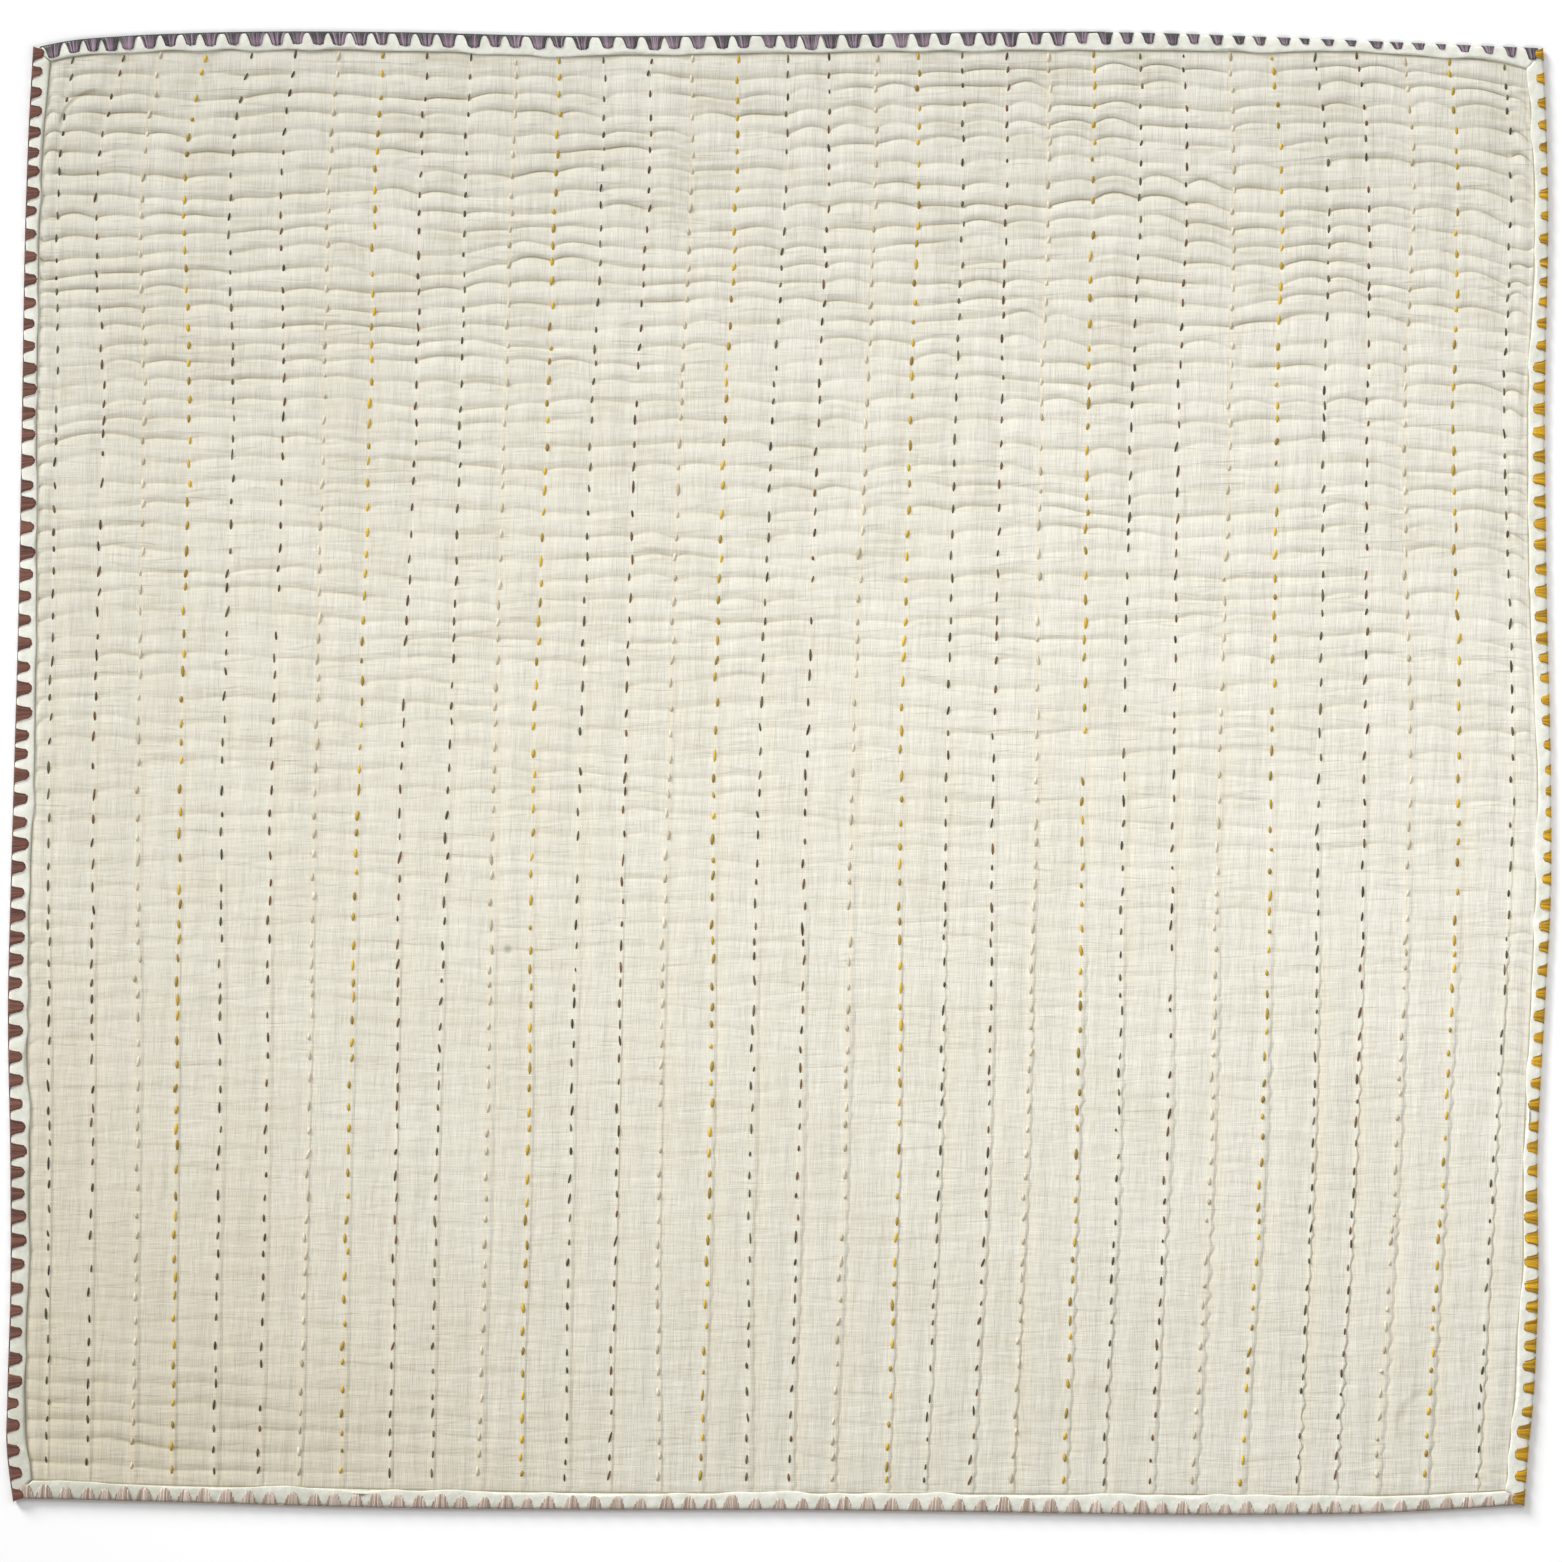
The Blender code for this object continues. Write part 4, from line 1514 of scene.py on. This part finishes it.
@dataclass(frozen=True)
class CrinkledMuslin:
    """Light plain-woven cotton muslin, washed so that it crinkles: matt, with slubs both ways."""

    cream: str = "E1DFD5"
    shade: str = "CEC9B8"
    # The colour of the painted shade in the creases
    crease: str = "8F8460"
    stain: str = "8F9080"
    # The thread that shows through the cloth; the painted shade in the dip beside each row is laid in
    # the same colour
    through: str = "CBBC98"
    warm: str = "BEAB86"
    roughness: float = 0.93
    # A muslin thread is about 0.5 mm apart: drawn coarser, as wide as the camera sees
    slub: Pair = (0.9, 14.0)
    weave_depth: float = 0.16
    # How much the finer layers of a streak count
    streak_grain: float = 0.55
    # The threads that run across the quilt show less than those that run up it
    across_share: float = 0.5
    weave_span: Span = (0.5, 1.0, 0.0, 1.0)
    weave_tint: float = 0.68
    patch: float = 60.0
    patch_tint: float = 0.55
    # Wrinkles across the quilt and softer ones along it: width, length and depth
    wrinkle: Triple = (5.0, 26.0, 0.45)
    ripple: Triple = (8.0, 60.0, 1.1)
    # Fine creases across the quilt: how wide, how long, and how deep; then how much painted shade is
    # laid in them
    fine_crease: Triple = (4.4, 30.0, 0.2)
    fine_crease_shade: float = 0.12
    # Where they are sharp, where the quilt has them by height in metres, and where they thin out
    fine_span: Span = (0.48, 0.72, 0.0, 1.0)
    fine_heights: Span = (-0.25, 0.12, 0.5, 1.0)
    fine_patch: float = 40.0
    fine_patches: Span = (0.3, 0.6, 0.3, 1.0)
    # How much painted shade the creases, the dips beside the rows and the bent creases get
    crease_shade: float = 0.8
    beside_shade: float = 0.6
    arc_shade: float = 0.5
    # A bent crease is this much deeper than a fine one; how far from its middle it fades out, as a
    # share of its width, and from what share of its reach on it ends
    arc_depth: float = 3.0
    arc_side: float = 0.7
    arc_core: float = 0.6
    stain_place: Pair = (-164.0, -106.5)
    stain_reach: float = 3.8
    stain_core: float = 0.2
    stain_tint: float = 0.7
    # Painted shade: the lower left is drawn darker and the upper right lighter, and the corner is warmer
    painted_shading: Span = (-0.8, 0.4, 0.25, -0.215)
    warmer: Span = (-0.8, -0.5, 0.25, 0.0)

    def streaks(
        self,
        tree: Tree,
        place: Socket,
        size: Pair,
        upright: bool,
        detail: float = 2.0,
        bend: float = 0.0,
    ) -> Socket:
        """Adds long uneven streaks that run one way, such as threads or wrinkles.

        Args:
            tree: the material's node tree.
            place: the point on the cloth, in metres.
            size: their width and length, in millimetres.
            upright: whether they run up the quilt.
            detail: how many finer layers of unevenness they have.
            bend: how much they wander off their way.

        Returns:
            How strong they are at each point.
        """
        across, along = 1 / (size[0] * MM), 1 / (size[1] * MM)
        scale = (across, along, 1.0) if upright else (along, across, 1.0)
        turned = add_node(tree, "Mapping", {"Vector": place, "Scale": scale})
        look = {"Vector": turned, "Scale": 1.0, "Detail": detail, "Distortion": bend}
        return add_node(tree, "TexNoise", {**look, "Roughness": self.streak_grain})

    def fine_creases(self, tree: Tree, place: Socket) -> Socket:
        """Adds the fine creases between the puckers, weaker towards the foot of the quilt.

        Args:
            tree: the material's node tree.
            place: the point on the cloth, in metres.

        Returns:
            How deep in a crease each point is, from 0 to 1.
        """
        field = self.streaks(tree, place, self.fine_crease[:2], False, 1.0, 0.5)
        patchy = self.streaks(tree, place, (self.fine_patch, self.fine_patch), False, 0.0)
        sharp = add_node(tree, "MapRange", (field, *self.fine_span), **SMOOTH)
        height = add_node(tree, "SeparateXYZ", (place,), "Y")
        much = add_node(tree, "MapRange", (height, *self.fine_heights))
        here = add_node(tree, "MapRange", (patchy, *self.fine_patches))
        there = add_node(tree, "Math", (here, much), operation="MULTIPLY")
        return add_node(tree, "Math", (sharp, there), operation="MULTIPLY")

    def far_from(self, tree: Tree, place: Socket, middle: Pair) -> Socket:
        """Adds how far each point is from a place on the cloth that is given in millimetres."""
        point = (middle[0] * MM, middle[1] * MM, CLOTH_HEIGHT * MM)
        return add_node(tree, "VectorMath", (place, point), "Value", operation="DISTANCE")

    def arc_crease(self, tree: Tree, place: Socket, arc: ArcCrease) -> Socket:
        """Adds one crease that bends.

        Args:
            tree: the material's node tree.
            place: the point on the cloth, in metres.
            arc: the crease.

        Returns:
            How deep in it each point is, from 0 to 1.
        """
        centre, middle = (self.far_from(tree, place, point) for point in (arc.centre, arc.middle))
        off = add_node(tree, "Math", (centre, arc.radius * MM), operation="SUBTRACT")
        near = add_node(tree, "Math", (off,), operation="ABSOLUTE")
        side = self.arc_side * arc.width * MM
        sharp = add_node(tree, "MapRange", (near, 0.0, side, arc.depth, 0.0), **SMOOTH)
        reach = arc.reach * MM
        here = add_node(tree, "MapRange", (middle, self.arc_core * reach, reach, 1.0, 0.0), **SMOOTH)
        return add_node(tree, "Math", (sharp, here), operation="MULTIPLY")

    def material(self) -> bpy.types.Material:
        """Builds the muslin.

        Returns:
            The material.
        """
        made, tree, shader = new_material("crinkled_cotton_muslin", self.roughness)
        place = add_node(tree, "TexCoord", (), "Object")
        up, over = (self.streaks(tree, place, self.slub, upright) for upright in (True, False))
        both = add_node(tree, "Math", (over, self.across_share, up), operation="MULTIPLY_ADD")
        weave = add_node(tree, "MapRange", (both, *self.weave_span))
        cloudy = {"Scale": 1 / (self.patch * MM), "Detail": 2.0, "Vector": place}
        patches = add_node(tree, "TexNoise", cloudy)
        # Painted shade: the lower left is drawn darker and the upper right lighter
        side = lower_left(tree, place, self.painted_shading)
        uneven = add_node(tree, "Math", (patches, self.patch_tint, side), operation="MULTIPLY_ADD")
        amount = add_node(tree, "Math", (weave, self.weave_tint, uneven), **ADD_CLAMPED)
        crease, beside, through = (
            add_node(tree, "Attribute", (), "Fac", attribute_name=name)
            for name in ("crease", "beside", "through")
        )
        fine = self.fine_creases(tree, place)
        thin = add_node(tree, "Math", (fine, self.fine_crease_shade), operation="MULTIPLY")
        # Painted shade: the creases, the line where the cloth turns down, the fine creases and the bent
        # creases are drawn darker
        dark = add_node(tree, "Math", (crease, self.crease_shade, thin), **ADD_CLAMPED)
        arcs = [self.arc_crease(tree, place, arc) for arc in ARC_CREASES]
        for arc in arcs:
            dark = add_node(tree, "Math", (arc, self.arc_shade, dark), operation="MULTIPLY_ADD")
        # The thread that shows through, and the painted shade in the dip beside each row
        thread_and_dip_shade = add_node(tree, "Math", (beside, self.beside_shade, through), **ADD_CLAMPED)
        far, reach = self.far_from(tree, place, self.stain_place), self.stain_reach * MM
        fading = (far, self.stain_core * reach, reach, self.stain_tint, 0.0)
        spot = add_node(tree, "MapRange", fading, **SMOOTH)
        layers = (
            (amount, self.shade),
            (lower_left(tree, place, self.warmer), self.warm),
            (dark, self.crease),
            (thread_and_dip_shade, self.through),
            (spot, self.stain),
        )
        tree.links.new(layered(tree, self.cream, layers), shader.inputs["Base Color"])
        shader.inputs["Specular IOR Level"].default_value = CLOTH_SPECULAR
        reliefs = [(weave, self.weave_depth), (fine, -self.fine_crease[2])]
        reliefs += [(arc, -self.arc_depth * self.fine_crease[2]) for arc in arcs]
        reliefs.append((self.streaks(tree, place, self.wrinkle[:2], False), self.wrinkle[2]))
        reliefs.append((self.streaks(tree, place, self.ripple[:2], True), self.ripple[2]))
        link_relief(tree, shader, reliefs)
        return made


@dataclass(frozen=True)
class CottonTape:
    """Bleached plain-woven cotton, closer and smoother than the muslin: matt and cooler."""

    white: str = "EFEFE7"
    shade: str = "C9C9BB"
    roughness: float = 0.9
    # The weave and, all over it, soft wrinkles: how wide and how deep
    weave: Pair = (1.1, 0.05)
    wrinkle: Pair = (7.0, 0.7)
    weave_tint: float = 0.5
    # Painted shade: the lower left corner is drawn far darker than the rest, and the upper right lighter
    painted_shading: Span = (-0.9, -0.5, 0.3, -0.22)

    def material(self) -> bpy.types.Material:
        """Builds the tape's cloth.

        Returns:
            The material.
        """
        made, tree, shader = new_material("bleached_cotton_tape", self.roughness)
        place = add_node(tree, "TexCoord", (), "Object")
        weave, wrinkles = (
            add_node(tree, "TexNoise", {"Scale": 1 / (size * MM), "Detail": 2.0, "Vector": place})
            for size, _ in (self.weave, self.wrinkle)
        )
        # Painted shade: darker in the lower left corner, lighter elsewhere
        side = lower_left(tree, place, self.painted_shading)
        side = add_node(tree, "Math", (side, wrinkles), operation="ADD")
        amount = add_node(tree, "Math", (weave, self.weave_tint, side), **ADD_CLAMPED)
        cloth = layered(tree, self.white, [(amount, self.shade)])
        tree.links.new(cloth, shader.inputs["Base Color"])
        shader.inputs["Specular IOR Level"].default_value = CLOTH_SPECULAR
        link_relief(tree, shader, [(weave, self.weave[1]), (wrinkles, self.wrinkle[1])])
        return made


@dataclass(frozen=True)
class EmbroideryThread:
    """Stranded cotton thread: a soft sheen along its length, and strands that differ in depth."""

    name: str
    dark: str
    light: str
    # Painted shade: how much darker it is drawn where it turns round the edge, half way along it, and at
    # its tip
    turned: float = 0.25
    tip: float = 0.2
    inside: float = 0.25
    turn_places: Pair = (0.45, 0.75)
    tip_places: Pair = (0.84, 1.0)
    roughness: float = 0.65
    sheen: float = 0.15
    ply: float = 0.5
    ply_tint: float = 0.5
    ply_depth: float = 0.15
    ply_strength: float = 0.3

    def material(self) -> bpy.types.Material:
        """Builds the thread.

        Returns:
            The material.
        """
        made, tree, shader = new_material("cotton_thread_" + self.name, self.roughness)
        tone, way = (
            add_node(tree, "Attribute", (), "Fac", attribute_name=name) for name in ("tone", "way")
        )
        place = add_node(tree, "TexCoord", (), "Object")
        ply = add_node(tree, "TexNoise", {"Scale": 1 / (self.ply * MM), "Detail": 1.0, "Vector": place})
        light = add_node(tree, "Math", (ply, self.ply_tint, tone), operation="MULTIPLY_ADD")
        # Painted shade where the thread turns round the edge and at its tip
        inner = add_node(tree, "MapRange", (way, *self.turn_places, self.turned, self.inside))
        last = add_node(tree, "MapRange", (way, *self.tip_places, 0.0, self.tip))
        painted_shading = add_node(tree, "Math", (inner, last), operation="ADD")
        share = add_node(tree, "Math", (light, painted_shading), operation="SUBTRACT", use_clamp=True)
        tree.links.new(layered(tree, self.dark, [(share, self.light)]), shader.inputs["Base Color"])
        shader.inputs["Sheen Weight"].default_value = self.sheen
        bump = {"Strength": self.ply_strength, "Distance": self.ply_depth * MM, "Height": ply}
        tree.links.new(add_node(tree, "Bump", bump), shader.inputs["Normal"])
        return made


@dataclass(frozen=True)
class PaperFloor:
    """White background paper: plain, matt and evenly lit."""

    white: str = "FCFCFC"
    roughness: float = 0.95

    def material(self) -> bpy.types.Material:
        """Builds the paper.

        Returns:
            The material.
        """
        made, _, shader = new_material("white_background_paper", self.roughness)
        shader.inputs["Base Color"].default_value = linear(self.white)
        shader.inputs["Specular IOR Level"].default_value = 0.0
        return made


@dataclass
class Studio:
    """The floor, the lights and the camera straight above."""

    # The picture's width in pixels, and how many of them a millimetre of the quilt has
    picture_width: float = 1562.0
    scale: float = 1.652
    middle: Pair = (1.2, -4.8)
    height: float = 3.2
    sensor: float = 36.0
    floor_size: float = 8.0
    # The key light is far away and comes over the quilt's upper left
    key_strength: float = 3.4
    key_angle: float = 24.0
    key_way: Triple = (-0.6, 0.73, 0.4)
    # A long softbox hangs over the middle
    fill_energy: float = 3.7
    fill_size: Pair = (1.5, 0.4)
    fill_place: Triple = (0.1, 0.03, 0.7)
    sky: float = 0.4

    def floor(self, material: bpy.types.Material) -> None:
        """Lays the floor.

        Args:
            material: the floor's paper.
        """
        bpy.ops.object.select_all(action="DESELECT")
        bpy.ops.mesh.primitive_plane_add(size=self.floor_size, location=(0, 0, 0))
        made = bpy.context.object
        made.name = "floor"
        made.data.materials.append(material)

    def camera(self) -> None:
        """Hangs the camera above the quilt, with the picture's own frame."""
        data = bpy.data.cameras.new("camera")
        wide = self.picture_width / self.scale * MM
        data.sensor_width = self.sensor
        data.lens = self.sensor * (self.height - CLOTH_HEIGHT * MM) / wide
        made = bpy.data.objects.new("camera", data)
        made.location = (self.middle[0] * MM, self.middle[1] * MM, self.height)
        bpy.context.scene.collection.objects.link(made)
        bpy.context.scene.camera = made

    def lights(self) -> None:
        """Sets a soft key light over the quilt's upper left, a long softbox and an even light."""
        key = bpy.data.lights.new("key", "SUN")
        key.energy = self.key_strength
        key.angle = math.radians(self.key_angle)
        fill = bpy.data.lights.new("fill", "AREA")
        fill.energy = self.fill_energy
        fill.shape = "RECTANGLE"
        fill.size, fill.size_y = self.fill_size
        hung = bpy.data.objects.new("fill", fill)
        hung.location = self.fill_place
        shining = bpy.data.objects.new("key", key)
        shining.rotation_euler = (-Vector(self.key_way)).to_track_quat("-Z", "Y").to_euler()
        for light in (hung, shining):
            bpy.context.scene.collection.objects.link(light)
        world = bpy.data.worlds.new("studio")
        world.use_nodes = True
        background = world.node_tree.nodes["Background"]
        background.inputs["Color"].default_value = (1.0, 1.0, 1.0, 1.0)
        background.inputs["Strength"].default_value = self.sky
        bpy.context.scene.world = world
        bpy.context.scene.view_settings.view_transform = "Standard"


SCALLOPS = {
    "left": (
        Scallop(-438, 14.4, 8.6, 7.6),
        Scallop(-300, 14.2, 8.8, 8.8),
        Scallop(0, 13.8, 8.8, 8.8),
        Scallop(250, 13.4, 8.4, 8.0),
        Scallop(400, 12.6, 8.0, 7.2),
        Scallop(438, 12.0, 7.6, 6.0),
    ),
    "right": (
        Scallop(-440, 13.4, 8.6, 7.6),
        Scallop(-285, 13.5, 8.8, 8.0),
        Scallop(-240, 13.5, 8.0, 6.5),
        Scallop(-80, 13.5, 7.6, 6.0),
        Scallop(-20, 13.5, 6.4, 3.4),
        Scallop(20, 13.6, 6.4, 3.8),
        Scallop(90, 13.6, 7.8, 7.2),
        Scallop(250, 13.8, 7.8, 7.0),
        Scallop(290, 13.8, 6.6, 5.0),
        Scallop(438, 13.9, 6.4, 4.6),
    ),
    "bottom": (
        Scallop(-460, 12.4, 9.0, 8.0),
        Scallop(-250, 13.0, 8.8, 7.8),
        Scallop(-50, 13.9, 8.5, 7.5),
        Scallop(150, 13.6, 8.8, 8.3),
        Scallop(380, 13.4, 7.9, 6.8),
        Scallop(440, 13.2, 7.6, 6.3),
    ),
    "top": (
        Scallop(-450, 11.6, 9.6, 7.4),
        Scallop(-300, 12.9, 10.0, 8.0),
        Scallop(-130, 14.1, 10.4, 7.6),
        Scallop(100, 13.7, 9.4, 8.0),
        Scallop(230, 13.5, 8.0, 7.0),
        Scallop(330, 13.8, 6.6, 3.6),
        Scallop(425, 13.5, 6.6, 3.8),
        Scallop(440, 12.8, 8.0, 6.6),
        Scallop(458, 12.0, 7.0, 7.0),
    ),
}


# For each side: its first and last scallop, its seed, and its lean, draw and rounding
EDGINGS = {
    "left": (-436.8, 435.2, 40, 0.4, 0.44, 0.14),
    "right": (-438.8, 435.1, 41, 0.0, 0.42, 0.12),
    "bottom": (-456.4, 443.0, 42, 0.7, 0.15, 0.52),
    "top": (-439.6, 455.2, 43, 0.8, 0.46, 0.08),
}
EDGE_THREADS = {
    "left": EmbroideryThread("chestnut", "4F2A1E", "80503F"),
    "right": EmbroideryThread("gold", "8C6803", "E2AF0E", tip=0.7),
    "bottom": EmbroideryThread("rose_taupe", "968272", "DFD0C3"),
    "top": EmbroideryThread("plum", "353232", "A78FA0", turned=0.7),
}
# Where the thread between the scallops shows: its end as a share of the side, its points, how far out
EDGE_RUNS = {"left": (0.996, 300, -0.1), "bottom": (0.996, 300, 0.2), "top": (0.71, 220, 0.2)}
# Each thread of the quilting, and how wide its stitches are
QUILTING = {
    Thread.SLATE: (EmbroideryThread("slate", "2C2912", "68603E"), 1.35),
    Thread.BROWN: (EmbroideryThread("brown", "332008", "6E4E24"), 1.35),
    Thread.NATURAL: (EmbroideryThread("natural", "AC9E82", "D8CEB8"), 1.9),
    Thread.MUSTARD: (EmbroideryThread("mustard", "84690F", "D6B23A"), 1.85),
}
QUILTING_SEED = 20


def main() -> None:
    """Builds and dresses the quilt, lights it and reports each piece."""
    logging.basicConfig(level=logging.INFO, format="%(name)s: %(message)s")
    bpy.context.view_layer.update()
    plan = QuiltPlan()
    studio = Studio()
    studio.floor(PaperFloor().material())
    studio.camera()
    studio.lights()

    cloth = QuiltedPanel(plan).finished(CrinkledMuslin().material())
    edgings = {
        side: ScallopedEdge(border, SCALLOPS[side], *EDGINGS[side]) for side, border in BORDERS.items()
    }
    tape_cloth = CottonTape().material()
    for seed, (side, border) in enumerate(BORDERS.items()):
        tape = BindingTape(plan, border, edgings[side].teeth(), seed)
        tape.finished(tape_cloth)
    for seed, (thread, (finish, width)) in enumerate(QUILTING.items(), start=QUILTING_SEED):
        stitches = RunningStitches(plan, thread, seed, width)
        stitches.finished(finish.material())
    for side, finish in EDGE_THREADS.items():
        material = finish.material()
        edgings[side].finished(material)
        if side in EDGE_RUNS:
            EdgeThread(BORDERS[side], *EDGE_RUNS[side]).finished(material)


if __name__ == "__main__":
    main()
